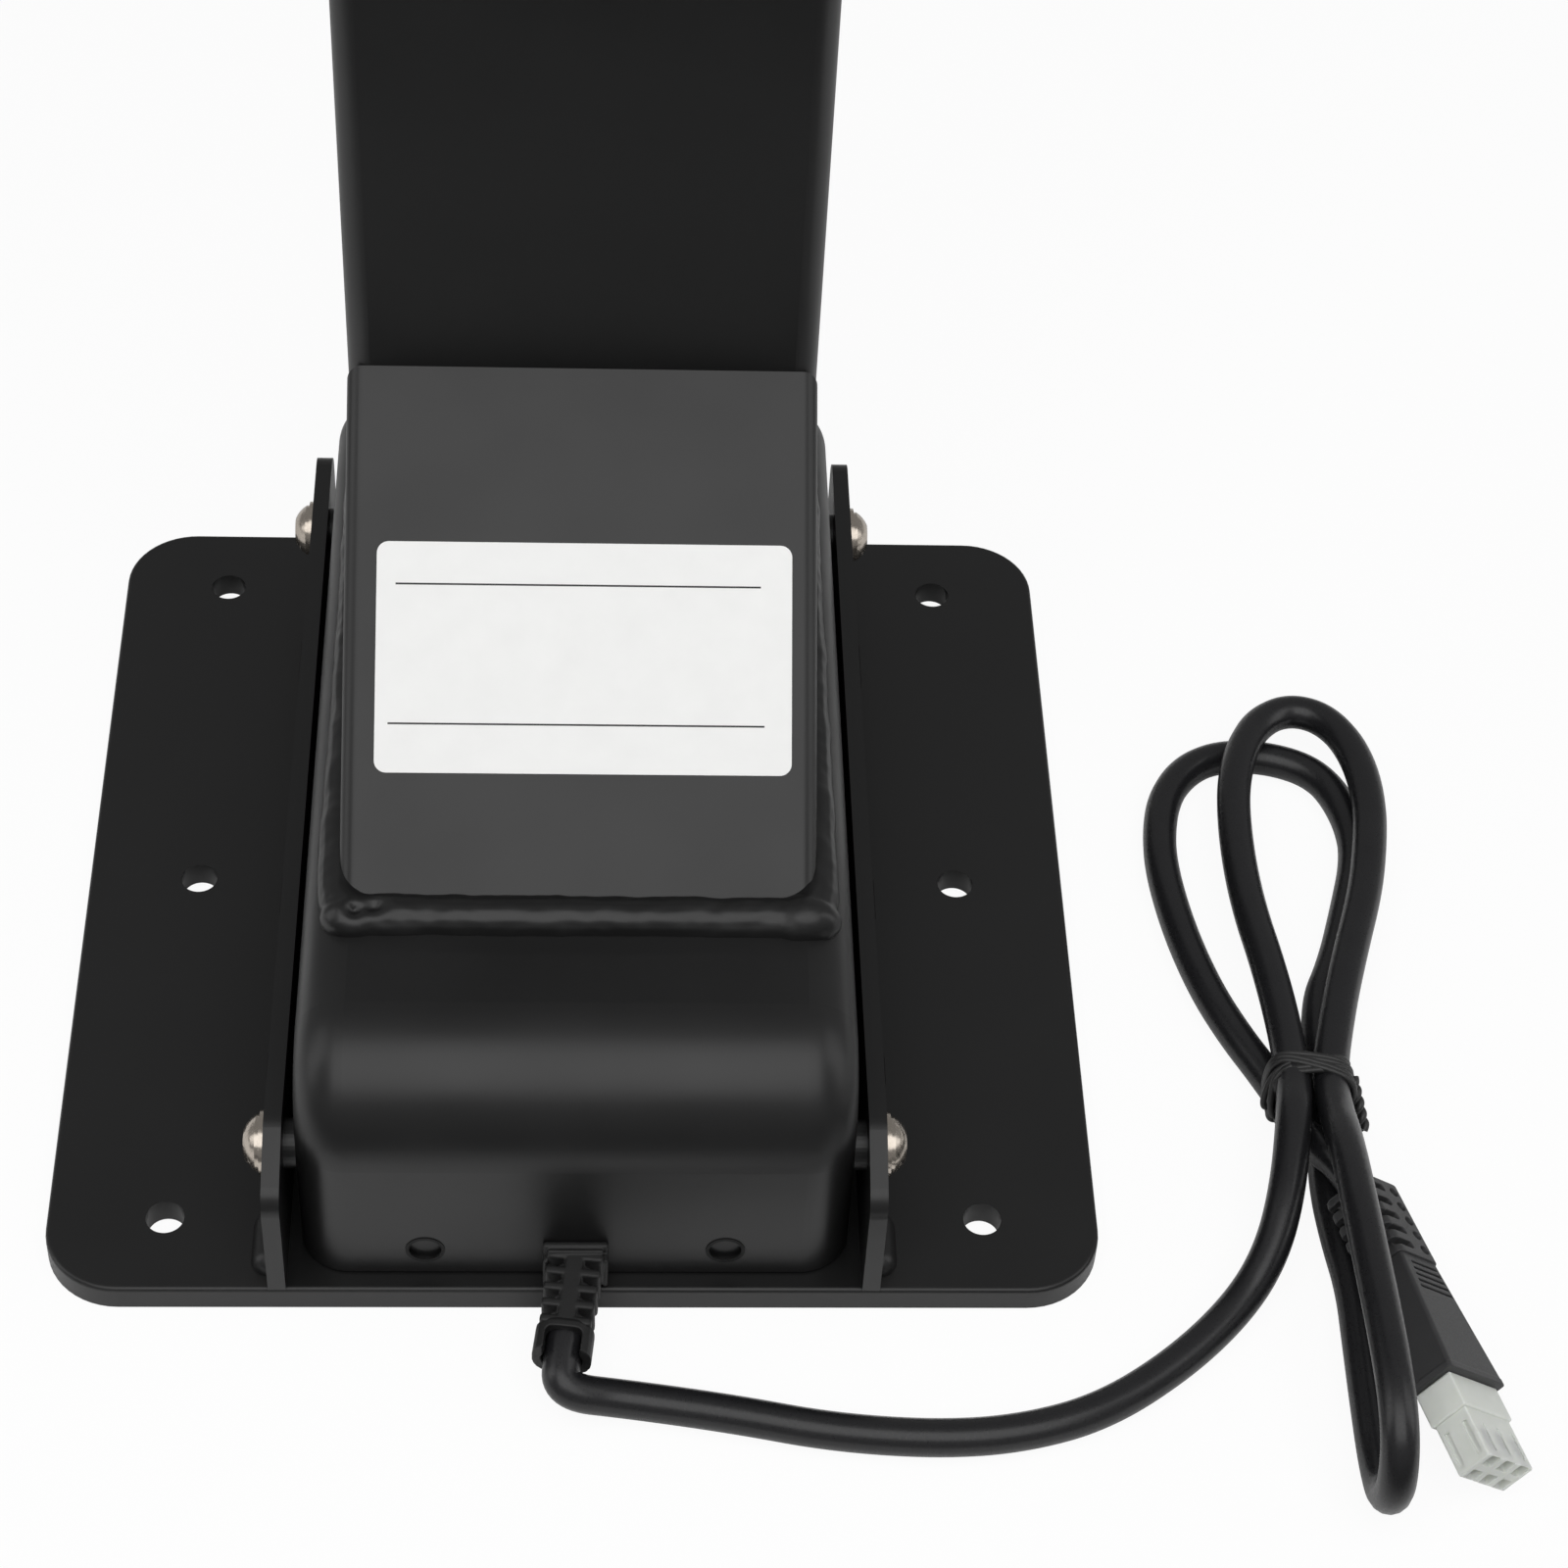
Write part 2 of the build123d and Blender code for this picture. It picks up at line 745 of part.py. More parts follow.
def lower_loop():
    # Seen from the side: up over the plug's boot, down at the front and back along the floor
    outside = make_face(Spline(
        (tie_low_y, hank_h),
        (-66.0, 19.2),
        (-84.0, 25.0),
        (-107.0, 27.9),
        (-128.0, 28.4),
        (-138.5, 21.5),
        (-139.6, 12.0),
        (-134.5, 3.4),
        (-126.0, 0.2),
    ) + Polyline((-126.0, 0.2), (-124.0, 0.05), (tie_low_y, 0.05), (tie_low_y, hank_h)))
    window = make_face(Spline(
        (-76.0, 7.0),
        (-84.0, 17.0),
        (-107.0, 20.8),
        (-125.0, 21.4),
        (-131.5, 17.0),
        (-130.0, 9.0),
    ) + Line((-130.0, 9.0), (-76.0, 7.0)))
    side = Plane(origin=(loop_x - loop_w / 2, 0, 0), x_dir=(0, 1, 0), z_dir=(1, 0, 0))
    return extrude(side * (outside - window), loop_w)


def cord_hank():
    # Two upper loops, the tied waist, the lower loop and the plug's lead, as one closed solid
    upper = make_face(Spline(
        (waist_left, tie_high_y),
        (109.0, -13.0),
        (107.0, 12.0),
        (117.0, 34.5),
        (137.0, 44.2),
        (151.0, 33.0),
        (152.4, 8.0),
        (145.5, -19.0),
        (waist_right, tie_high_y),
    ) + Line((waist_right, tie_high_y), (waist_left, tie_high_y)))
    window = make_face(Spline(
        (130.5, -30.0),
        (126.5, -6.0),
        (129.0, 24.0),
        (138.5, 33.0),
        (144.0, 21.0),
        (142.0, -2.0),
        (133.5, -28.0),
        periodic=True,
    ))
    hank = extrude(upper - window, hank_h)
    waist_low = (waist_left, tie_low_y, waist_z)
    waist_high = (waist_right, tie_high_y, hank_h)
    return hank + box_between(waist_low, waist_high) + lower_loop() + cord_along(lead_route)


def cord_tie():
    low = (waist_left - tie_t, tie_low_y, waist_z - tie_t)
    high = (waist_right + tie_t, tie_high_y, hank_h + tie_t)
    band = fillet(box_between(low, high).edges().filter_by(Axis.Y), 1)
    return band - box_between((waist_left, tie_low_y, waist_z), (waist_right, tie_high_y, hank_h))


def plug_plane():
    # On the plug's axis at its cable end: x across the wide face, y out of it, z towards the contacts
    axis = (Vector(*plug_end) - Vector(*plug_start)).normalized()
    level = axis.cross(Vector(0, 0, 1)).normalized() * -1
    up = level.cross(axis) * -1
    roll = radians(plug_roll)
    across = level * cos(roll) - up * sin(roll)
    return Plane(origin=plug_start, x_dir=across, z_dir=axis)


def plug_boot(frame):
    # Slots round the left side and a row of holes along the right, so that it bends
    shoulder = plug_neck + 2
    boot = loft([
        frame * rounded(plug_neck, plug_h - 0.6, 2.5),
        frame.offset(plug_boot_len) * rounded(shoulder, plug_h - 0.3, 2.2),
    ])
    for row in range(plug_rows):
        level = frame.offset(plug_rib + row * plug_pitch)
        slot = Pos(-shoulder / 2, 0) * Rectangle(shoulder, plug_h + 2)
        boot -= extrude(level * slot, plug_pitch - plug_rib)
        half = (plug_neck + 2 * row / plug_rows) / 2
        hole = Pos(half - hole_inset, 0) * Rectangle(1, plug_h + 2)
        boot -= extrude(level * hole, plug_pitch - plug_rib)
    return boot + extrude(frame * Circle(boot_core_r), plug_boot_len)


def plug_body():
    frame = plug_plane()
    length = (Vector(*plug_end) - Vector(*plug_start)).length
    shoulder = rounded(plug_neck + 2, plug_h - 0.3, 2.2)
    handle = loft([
        frame.offset(plug_boot_len) * shoulder,
        frame.offset(length - plug_rim) * rounded(plug_w - 0.4, plug_h - 0.2, 1.2),
    ])
    for row in range(grip_rows):
        level = frame.offset(plug_boot_len + grip_start + row * grip_pitch)
        for side in (-1, 1):
            groove = Pos(grip_shift, side * plug_h / 2) * Rectangle(grip_w, 2 * grip_depth)
            handle -= extrude(level * groove, grip_pitch * 0.45)
    rim = extrude(frame.offset(length - plug_rim) * rounded(plug_w, plug_h, 1.2), plug_rim)
    return plug_boot(frame) + handle + rim


def plug_connector():
    frame = plug_plane()
    mouth = frame.offset((Vector(*plug_end) - Vector(*plug_start)).length)
    collar = extrude(mouth * rounded(connector_w, connector_h, 0.5), connector_step)
    nose_w, nose_h = connector_w - 0.9, connector_h - 0.5
    nose = extrude(mouth * rounded(nose_w, nose_h, 0.4), connector_len)
    shell = collar + nose
    face = mouth.offset(connector_len)
    low = mouth.offset(connector_len - latch_len - past)
    for column in (-1, 0, 1):
        for side in (-1, 1):
            spot = Pos(column * contact_pitch, side * contact_pitch * 0.45)
            shell -= extrude(face * spot * Rectangle(cell_w, cell_h), -cell_depth)
            latch = Pos(column * contact_pitch + latch_w, side * nose_h / 2) * Rectangle(latch_w, past)
            shell -= extrude(low * latch, latch_len)
    return shell


parts["base_plate"] = base_plate()
parts["side_plate_left"] = side_plate(-1)
parts["side_plate_right"] = side_plate(1)
parts["side_plate_welds"] = stitch_welds()
parts["drive_housing"] = drive_housing()
parts["housing_rivets"] = rivets()
parts["side_screws"] = on_sides(button_screw(), outer_x + washer_t)
parts["side_washers"] = side_washers()
parts["housing_nuts"] = housing_nuts()
parts["sloped_brace"] = sloped_brace()
parts["brace_weld"] = brace_weld()
parts["rating_label"] = rating_label()
parts["outer_tube"] = tube(outer_w, outer_d, outer_r, house_top, outer_top)
parts["outer_collar"] = guide_collar(outer_size, middle_size, outer_top)
parts["middle_tube"] = tube(middle_w, middle_d, middle_r, foot_low, middle_top)
parts["middle_collar"] = guide_collar(middle_size, inner_size, middle_top)
parts["middle_glides"] = glides(middle_w, middle_d, middle_r, outer_w, outer_d, foot_low + glide_low)
parts["middle_foot"] = middle_foot()
parts["lower_nut"] = lower_nut()
parts["upper_bearing"] = upper_bearing()
parts["inner_tube"] = tube(inner_w, inner_d, inner_r, foot_top + free_gap, inner_top)
parts["inner_glides"] = glides(inner_w, inner_d, inner_r, middle_w, middle_d, foot_top + free_gap + glide_low)
parts["inner_foot"] = inner_foot()
parts["upper_nut"] = upper_nut()
parts["head_plate"] = head_plate()
parts["head_weld"] = head_weld()
parts["gear_case"] = gear_case()
parts["gear_cover"] = gear_cover()
parts["screw_bearings"] = screw_bearings()
parts["worm_wheel"] = worm_wheel()
parts["worm"] = worm()
parts["motor"] = motor()
parts["motor_cap"] = motor_cap()
parts["lower_screw"] = lower_screw()
parts["upper_screw"] = upper_screw()
parts["drive_sleeve"] = drive_sleeve()
parts["cable_boot"] = cable_boot()
parts["cord_run"] = cord_along(cord_route)
parts["cord_hank"] = cord_hank()
parts["cord_tie"] = cord_tie()
parts["plug_body"] = plug_body()
parts["plug_connector"] = plug_connector()

os.makedirs("parts", exist_ok=True)
for name, shape in parts.items():
    if isinstance(shape, list):
        shape = Compound(children=shape)
    export_step(shape, f"parts/{name}.step")
print(len(parts), "parts")
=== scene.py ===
# Electric TV lift: the looks of the base, column, cord and plug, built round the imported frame
import bpy
import bmesh
import json
import math
from mathutils import Matrix, Vector, noise

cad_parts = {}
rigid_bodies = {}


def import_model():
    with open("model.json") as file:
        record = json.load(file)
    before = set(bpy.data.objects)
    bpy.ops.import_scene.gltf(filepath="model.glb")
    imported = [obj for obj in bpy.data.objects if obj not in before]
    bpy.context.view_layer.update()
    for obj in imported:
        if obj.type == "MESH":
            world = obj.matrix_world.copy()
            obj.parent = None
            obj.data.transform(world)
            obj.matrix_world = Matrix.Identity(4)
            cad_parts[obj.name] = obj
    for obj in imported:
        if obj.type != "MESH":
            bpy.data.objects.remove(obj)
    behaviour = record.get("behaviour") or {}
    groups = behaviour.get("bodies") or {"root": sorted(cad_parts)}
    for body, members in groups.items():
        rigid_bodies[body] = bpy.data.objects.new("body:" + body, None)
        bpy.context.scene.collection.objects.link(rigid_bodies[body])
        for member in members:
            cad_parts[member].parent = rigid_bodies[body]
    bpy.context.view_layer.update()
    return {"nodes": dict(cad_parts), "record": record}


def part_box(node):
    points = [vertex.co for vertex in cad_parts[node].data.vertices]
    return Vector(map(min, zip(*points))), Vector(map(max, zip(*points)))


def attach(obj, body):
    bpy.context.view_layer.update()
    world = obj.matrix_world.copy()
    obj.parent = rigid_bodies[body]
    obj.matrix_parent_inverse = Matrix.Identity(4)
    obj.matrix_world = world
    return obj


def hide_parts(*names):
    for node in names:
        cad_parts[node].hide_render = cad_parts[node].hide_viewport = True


for leftover in list(bpy.data.objects):
    bpy.data.objects.remove(leftover)
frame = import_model()
mm = 0.001
bpy.context.scene.view_settings.view_transform = "Standard"
print("frame loaded")


# Camera and cord

camera = {
    "place": (0.877 * mm, -459.145 * mm, 527.56 * mm),
    "pitch": 47.0983,  # degrees below the horizon
    "yaw": 4.4785,  # degrees towards +X
    "roll": 3.782,
    "lens": 85.91,
}

cord = {
    "diameter": 6.4 * mm,
    "floor": 3.25 * mm,
    "sides": 20,
}
onFloor = cord["floor"] / mm
cordRoute = [  # mm: out of the boot, along the floor and up over the plug's lead to the tie
    (-1.3, -102.8, 9.1),  # this first point lies inside the boot, the next one at its mouth
    (-2.0, -107.0, 8.6), (-2.4, -113.6, 7.0), (9.0, -112.6, onFloor), (26.5, -115.5, onFloor),
    (42.5, -119.0, onFloor), (60.0, -120.4, onFloor), (74.0, -119.3, onFloor), (88.0, -115.0, onFloor),
    (102.0, -105.2, onFloor), (113.0, -94.5, 4.3), (119.0, -86.0, 8.2), (122.4, -75.5, 12.2),
    (124.9, -62.0, 13.8), (126.8, -50.5, 10.4),
    # the upper loop, clockwise seen from above
    (126.6, -36.5, 9.8), (125.4, -22.5, 9.6), (123.8, -11.0, 9.4), (123.1, 0.5, 9.2), (123.2, 12.0, 9.5),
    (124.1, 21.5, 9.9), (126.6, 30.5, 9.8), (130.8, 38.3, 9.2), (136.8, 42.2, 8.8), (142.8, 40.8, 8.8),
    (147.0, 35.0, 9.2), (149.2, 26.5, 9.7), (149.6, 16.5, 9.9), (148.3, 6.5, 9.8), (145.9, -5.0, 9.5),
    (141.2, -19.5, 9.6), (137.2, -32.8, 9.7), (133.4, -48.5, 9.8),
    # the front loop, standing up over the plug's boot and back along the floor
    (132.8, -58.5, 12.4), (132.3, -69.5, 18.0), (132.0, -84.0, 21.4), (132.0, -96.0, 23.0),
    (132.0, -107.0, 24.4), (132.0, -117.5, 25.3), (132.0, -126.0, 25.2), (132.1, -133.3, 22.2),
    (132.3, -136.8, 14.2), (132.4, -133.8, 6.2), (132.5, -125.5, onFloor), (132.6, -115.0, onFloor),
    (132.9, -102.0, onFloor), (133.2, -90.0, onFloor), (131.9, -79.5, onFloor), (131.3, -68.5, onFloor),
    (132.5, -58.0, onFloor), (133.3, -47.5, onFloor),
    # the lower loop, anticlockwise, under the upper one
    (134.8, -27.5, onFloor), (139.4, -17.5, onFloor), (143.6, -4.0, onFloor), (147.0, 8.0, onFloor),
    (147.1, 17.0, onFloor), (144.8, 25.5, onFloor), (141.6, 30.3, onFloor), (137.0, 33.2, onFloor),
    (130.5, 34.9, onFloor), (122.8, 34.6, onFloor), (116.5, 31.0, onFloor), (111.8, 23.8, onFloor),
    (109.8, 14.0, onFloor), (109.6, 4.0, onFloor), (111.5, -10.5, onFloor), (115.0, -24.5, onFloor),
    (119.3, -35.2, onFloor), (123.0, -42.5, onFloor), (126.6, -50.5, onFloor),
    # up into the plug's boot
    (127.2, -57.2, 4.8), (129.9, -64.6, 9.2), (133.4, -69.4, 9.9), (135.4, -74.8, 9.6),
]


def addCamera():
    data = bpy.data.cameras.new("photoCamera")
    data.lens = camera["lens"]
    data.sensor_width = 36
    data.clip_start = 0.01
    data.clip_end = 20
    pitch, yaw, roll = (math.radians(camera[k]) for k in ("pitch", "yaw", "roll"))
    forward = Vector((
        math.sin(yaw) * math.cos(pitch),
        math.cos(yaw) * math.cos(pitch),
        -math.sin(pitch),
    ))
    level = Vector((math.cos(yaw), -math.sin(yaw), 0))
    above = level.cross(forward)
    right = level * math.cos(roll) + above * math.sin(roll)
    up = above * math.cos(roll) - level * math.sin(roll)
    eye = bpy.data.objects.new("photoCamera", data)
    turned = Matrix((right, up, -forward)).transposed().to_4x4()
    eye.matrix_world = Matrix.Translation(camera["place"]) @ turned
    bpy.context.scene.collection.objects.link(eye)
    bpy.context.scene.camera = eye


def splineCurve(name, points, thickness, sides=6):
    curve = bpy.data.curves.new(name, "CURVE")
    curve.dimensions = "3D"
    spline = curve.splines.new("NURBS")
    spline.points.add(len(points) - 1)
    for point, place in zip(spline.points, points):
        point.co = (*(mm * v for v in place), 1)
        point.radius = mm  # keeps the curve's own box small; the bevel below makes up for it
    spline.order_u = 3
    spline.use_endpoint_u = True
    spline.resolution_u = 12
    curve.bevel_depth = thickness / 2 / mm
    curve.bevel_resolution = sides
    curve.use_fill_caps = True
    obj = bpy.data.objects.new(name, curve)
    bpy.context.scene.collection.objects.link(obj)
    return obj


addCamera()
cordPiece = splineCurve("powerCord", cordRoute, cord["diameter"], cord["sides"] // 3)
print("camera and cord placed")


# Mesh helpers

def pieceFrom(name, bm):
    mesh = bpy.data.meshes.new(name)
    bm.normal_update()
    bm.to_mesh(mesh)
    bm.free()
    obj = bpy.data.objects.new(name, mesh)
    bpy.context.scene.collection.objects.link(obj)
    return obj


def applied(obj):
    # What the modifiers make becomes the piece's own mesh
    bpy.context.view_layer.update()
    shaped = obj.evaluated_get(bpy.context.evaluated_depsgraph_get())
    mesh = bpy.data.meshes.new_from_object(shaped)
    name = obj.name
    bpy.data.objects.remove(obj)
    fresh = bpy.data.objects.new(name, mesh)
    fresh.name = name
    bpy.context.scene.collection.objects.link(fresh)
    return fresh


def carve(obj, cutter, operation="DIFFERENCE"):
    cut = obj.modifiers.new("cut", "BOOLEAN")
    cut.operation = operation
    cut.object = cutter
    cut.solver = "EXACT"
    cut.use_self = True
    fresh = applied(obj)
    bpy.data.objects.remove(cutter)
    return fresh


def softened(obj, voxel, passes):
    # An even skin over the whole form, with every corner a little rounded
    skin = obj.modifiers.new("skin", "REMESH")
    skin.mode = "VOXEL"
    skin.voxel_size = voxel
    soft = obj.modifiers.new("soft", "SMOOTH")
    soft.factor = 0.5
    soft.iterations = passes
    return smoothShaded(applied(obj))


def smoothShaded(obj):
    obj.data.polygons.foreach_set("use_smooth", [True] * len(obj.data.polygons))
    return obj


def roundedRing(bm, width, height, radius, segments=5):
    # A flat rounded rectangle about the origin
    made = bmesh.ops.create_grid(bm, x_segments=1, y_segments=1, size=0.5)
    verts = made["verts"]
    bmesh.ops.scale(bm, verts=verts, vec=(width, height, 1))
    if radius > 0:
        bmesh.ops.bevel(
            bm, geom=verts, offset=radius, affect="VERTICES", segments=segments, profile=0.5, material=-1
        )
    return bm.faces[:][-1] if len(bm.faces) == 1 else max(bm.faces, key=lambda f: f.calc_area())


def loftedForm(stations, radius):
    # Stations are (height, width, depth); each ring is the last one, lifted and stretched
    bm = bmesh.new()
    low, width, depth = stations[0]
    face = roundedRing(bm, width, depth, radius)
    bmesh.ops.translate(bm, verts=bm.verts, vec=(0, 0, low))
    for high, nextWidth, nextDepth in stations[1:]:
        made = bmesh.ops.extrude_face_region(bm, geom=[face])
        face = [g for g in made["geom"] if isinstance(g, bmesh.types.BMFace)][0]
        bmesh.ops.scale(bm, verts=face.verts, vec=(nextWidth / width, nextDepth / depth, 1))
        bmesh.ops.translate(bm, verts=face.verts, vec=(0, 0, high - low))
        low, width, depth = high, nextWidth, nextDepth
    bmesh.ops.recalc_face_normals(bm, faces=bm.faces)
    return bm


def addBlock(bm, centre, size, rounded=0):
    before = set(bm.verts)
    made = bmesh.ops.create_cube(bm, size=1)
    bmesh.ops.scale(bm, verts=made["verts"], vec=size)
    if rounded:
        edges = list({e for v in made["verts"] for e in v.link_edges})
        bmesh.ops.bevel(
            bm, geom=edges, offset=rounded, affect="EDGES", segments=3, profile=0.5, material=-1
        )
    fresh = [v for v in bm.verts if v not in before]
    bmesh.ops.translate(bm, verts=fresh, vec=centre)


def addOval(bm, centre, size):
    made = bmesh.ops.create_uvsphere(bm, u_segments=24, v_segments=16, radius=0.5)
    bmesh.ops.scale(bm, verts=made["verts"], vec=size)
    bmesh.ops.translate(bm, verts=made["verts"], vec=centre)


# Materials

def newMaterial(name):
    material = bpy.data.materials.new(name)
    material.use_nodes = True
    tree = material.node_tree
    shader = tree.nodes["Principled BSDF"]
    return material, tree, shader


def noiseOf(tree, size, detail=2.0, roughness=0.5):
    # Noise with features about this many metres wide, on the piece's own coordinates
    where = tree.nodes.new("ShaderNodeTexCoord")
    grain = tree.nodes.new("ShaderNodeTexNoise")
    grain.inputs["Scale"].default_value = 1 / size
    grain.inputs["Detail"].default_value = detail
    grain.inputs["Roughness"].default_value = roughness
    tree.links.new(where.outputs["Object"], grain.inputs["Vector"])
    return grain


def spread(tree, source, low, high, start=0.3, end=0.7):
    ramp = tree.nodes.new("ShaderNodeMapRange")
    ramp.inputs["From Min"].default_value = start
    ramp.inputs["From Max"].default_value = end
    ramp.inputs["To Min"].default_value = low
    ramp.inputs["To Max"].default_value = high
    tree.links.new(source, ramp.inputs["Value"])
    return ramp.outputs["Result"]


def tint(tree, factor, dark, light):
    mix = tree.nodes.new("ShaderNodeMix")
    mix.data_type = "RGBA"
    mix.inputs["A"].default_value = (*dark, 1)
    mix.inputs["B"].default_value = (*light, 1)
    tree.links.new(factor, mix.inputs["Factor"])
    return mix.outputs["Result"]


def emboss(tree, shader, height, depth, strength):
    bump = tree.nodes.new("ShaderNodeBump")
    bump.inputs["Distance"].default_value = depth
    bump.inputs["Strength"].default_value = strength
    tree.links.new(height, bump.inputs["Height"])
    tree.links.new(bump.outputs["Normal"], shader.inputs["Normal"])


coat = {
    "dark": (0.0070, 0.0070, 0.0071),
    "light": (0.0086, 0.0086, 0.0087),
    "gloss": (0.33, 0.40),
    "peel": 1.1 * mm,
    "cloud": 22 * mm,
}


def powderCoat(name, peelStrength=0.10):
    material, tree, shader = newMaterial(name)
    cloud = noiseOf(tree, coat["cloud"], 3)
    peel = noiseOf(tree, coat["peel"], 1.5)
    colour = tint(tree, cloud.outputs["Fac"], coat["dark"], coat["light"])
    tree.links.new(colour, shader.inputs["Base Color"])
    tree.links.new(spread(tree, cloud.outputs["Fac"], *coat["gloss"]), shader.inputs["Roughness"])
    emboss(tree, shader, peel.outputs["Fac"], 0.05 * mm, peelStrength)
    return material


def metal(name, dark, light, gloss, scratch=0.5 * mm, strength=0.15):
    material, tree, shader = newMaterial(name)
    cloud = noiseOf(tree, 4 * mm, 3)
    fine = noiseOf(tree, scratch, 3)
    tree.links.new(tint(tree, cloud.outputs["Fac"], dark, light), shader.inputs["Base Color"])
    tree.links.new(spread(tree, fine.outputs["Fac"], *gloss), shader.inputs["Roughness"])
    shader.inputs["Metallic"].default_value = 1
    emboss(tree, shader, fine.outputs["Fac"], 0.02 * mm, strength)
    return material


def moulded(name, dark, light, gloss, grain, strength, patch=6 * mm):
    material, tree, shader = newMaterial(name)
    cloud = noiseOf(tree, patch, 3)
    fine = noiseOf(tree, grain, 3)
    tree.links.new(tint(tree, cloud.outputs["Fac"], dark, light), shader.inputs["Base Color"])
    tree.links.new(spread(tree, fine.outputs["Fac"], *gloss), shader.inputs["Roughness"])
    emboss(tree, shader, fine.outputs["Fac"], 0.06 * mm, strength)
    return material


def milkyNylon():
    material, tree, shader = newMaterial("milkyNylon")
    cloud = noiseOf(tree, 3 * mm, 2)
    colour = tint(tree, cloud.outputs["Fac"], (0.68, 0.71, 0.66), (0.80, 0.82, 0.78))
    tree.links.new(colour, shader.inputs["Base Color"])
    tree.links.new(spread(tree, cloud.outputs["Fac"], 0.28, 0.42), shader.inputs["Roughness"])
    shader.inputs["Subsurface Weight"].default_value = 0.6
    shader.inputs["Subsurface Radius"].default_value = (1.0, 1.0, 0.9)
    shader.inputs["Subsurface Scale"].default_value = 1.5 * mm
    shader.inputs["Transmission Weight"].default_value = 0.12
    emboss(tree, shader, cloud.outputs["Fac"], 0.05 * mm, 0.2)
    return material


zincTones = ((0.20, 0.20, 0.21), (0.28, 0.28, 0.29))
nickelTones = ((0.48, 0.42, 0.36), (0.66, 0.60, 0.53))
plateTones = ((0.45, 0.46, 0.48), (0.6, 0.61, 0.62))
filmTones = ((0.80, 0.80, 0.79), (0.86, 0.86, 0.85))
plasticTones = ((0.012, 0.012, 0.013), (0.02, 0.02, 0.02))
castTones = ((0.36, 0.37, 0.38), (0.5, 0.5, 0.52))
groundTones = ((0.6, 0.6, 0.61), (0.75, 0.75, 0.76))
bootTones = ((0.006, 0.006, 0.006), (0.010, 0.010, 0.010))
sheathTones = ((0.008, 0.008, 0.009), (0.012, 0.012, 0.013))
glideTones = ((0.6, 0.6, 0.56), (0.7, 0.7, 0.66))
bronzeTones = ((0.45, 0.28, 0.12), (0.60, 0.40, 0.19))
screwTones = ((0.36, 0.36, 0.37), (0.5, 0.5, 0.5))
grainTones = ((0.026, 0.026, 0.027), (0.035, 0.035, 0.036))
stripTones = ((0.014, 0.014, 0.014), (0.022, 0.022, 0.022))
# painted shade: near-black tones for the shaded edges of the rivet recesses
recessShadeTones = ((0.0015, 0.0015, 0.0015), (0.0025, 0.0025, 0.0025))
ruleTones = ((0.02, 0.02, 0.02), (0.03, 0.03, 0.03))

materials = {
    "black_powder_coat": powderCoat("blackPowderCoat"),
    "black_weld": powderCoat("coatedWeld", 0.25),
    "dark_steel": metal("dullZinc", *zincTones, (0.45, 0.6)),
    "nickel_screw": metal("nickel", *nickelTones, (0.16, 0.30)),
    "zinc_steel": metal("zincPlate", *plateTones, (0.3, 0.45)),
    "white_label": moulded("labelFilm", *filmTones, (0.42, 0.52), 0.4 * mm, 0.03),
    "black_plastic": moulded("blackPlastic", *plasticTones, (0.45, 0.6), 0.3 * mm, 0.3),
    "cast_zinc": metal("castZinc", *castTones, (0.5, 0.7), 0.8 * mm, 0.4),
    "bearing_steel": metal("groundSteel", *groundTones, (0.12, 0.22)),
    "black_soft_plastic": moulded("softBoot", *bootTones, (0.5, 0.62), 0.35 * mm, 0.3),
    "cord_sheath": moulded("cordSheath", *sheathTones, (0.26, 0.36), 0.5 * mm, 0.12),
    "milky_nylon": milkyNylon(),
    "glide_plastic": moulded("glidePlastic", *glideTones, (0.4, 0.5), 0.5 * mm, 0.1),
    "bronze": metal("bronze", *bronzeTones, (0.25, 0.4)),
    "screw_steel": metal("screwSteel", *screwTones, (0.25, 0.4)),
}
plugGrain = moulded("plugGrain", *grainTones, (0.44, 0.56), 0.28 * mm, 0.45)
tieStrip = moulded("tieStrip", *stripTones, (0.34, 0.5), 0.6 * mm, 0.3)
# painted shade material for the edges of the rivet recesses
paintedRecessShade = moulded("paintedRecessShade", *recessShadeTones, (0.7, 0.8), 0.3 * mm, 0.05)
printBlack = moulded("labelRule", *ruleTones, (0.5, 0.6), 0.3 * mm, 0.05)


def dress(obj, slot, material=None):
    obj.data.materials.clear()
    obj.data.materials.append(material or materials[slot])
    return obj


slotOf = {}
for subpart in frame["record"]["subparts"]:
    slotOf[subpart["node"]] = subpart["material_slot"]
nodeFinish = {"housing_rivets": materials["black_powder_coat"]}  # sprayed together with the housing
for nodeName, node in frame["nodes"].items():
    for materialSlot in node.material_slots:
        materialSlot.material = nodeFinish.get(nodeName, materials[slotOf[nodeName]])
print("materials on", len(slotOf), "nodes")

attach(cordPiece, "base")
dress(cordPiece, "cord_sheath")
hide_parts("cord_run", "cord_hank")


# Stage and light

stage = {
    "white": 0.93,  # how much of the floor's own white the camera sees; the rest takes the shadow
    # nearPaper and farPaper are painted light: the floor's colour near the object and towards the camera
    "nearPaper": 0.85,
    "farPaper": 0.10,
    "fall": (-175 * mm, -140 * mm),
    "world": 0.12,
    "mirrored": 0.17,  # how much of the white surroundings the gloss shows
}


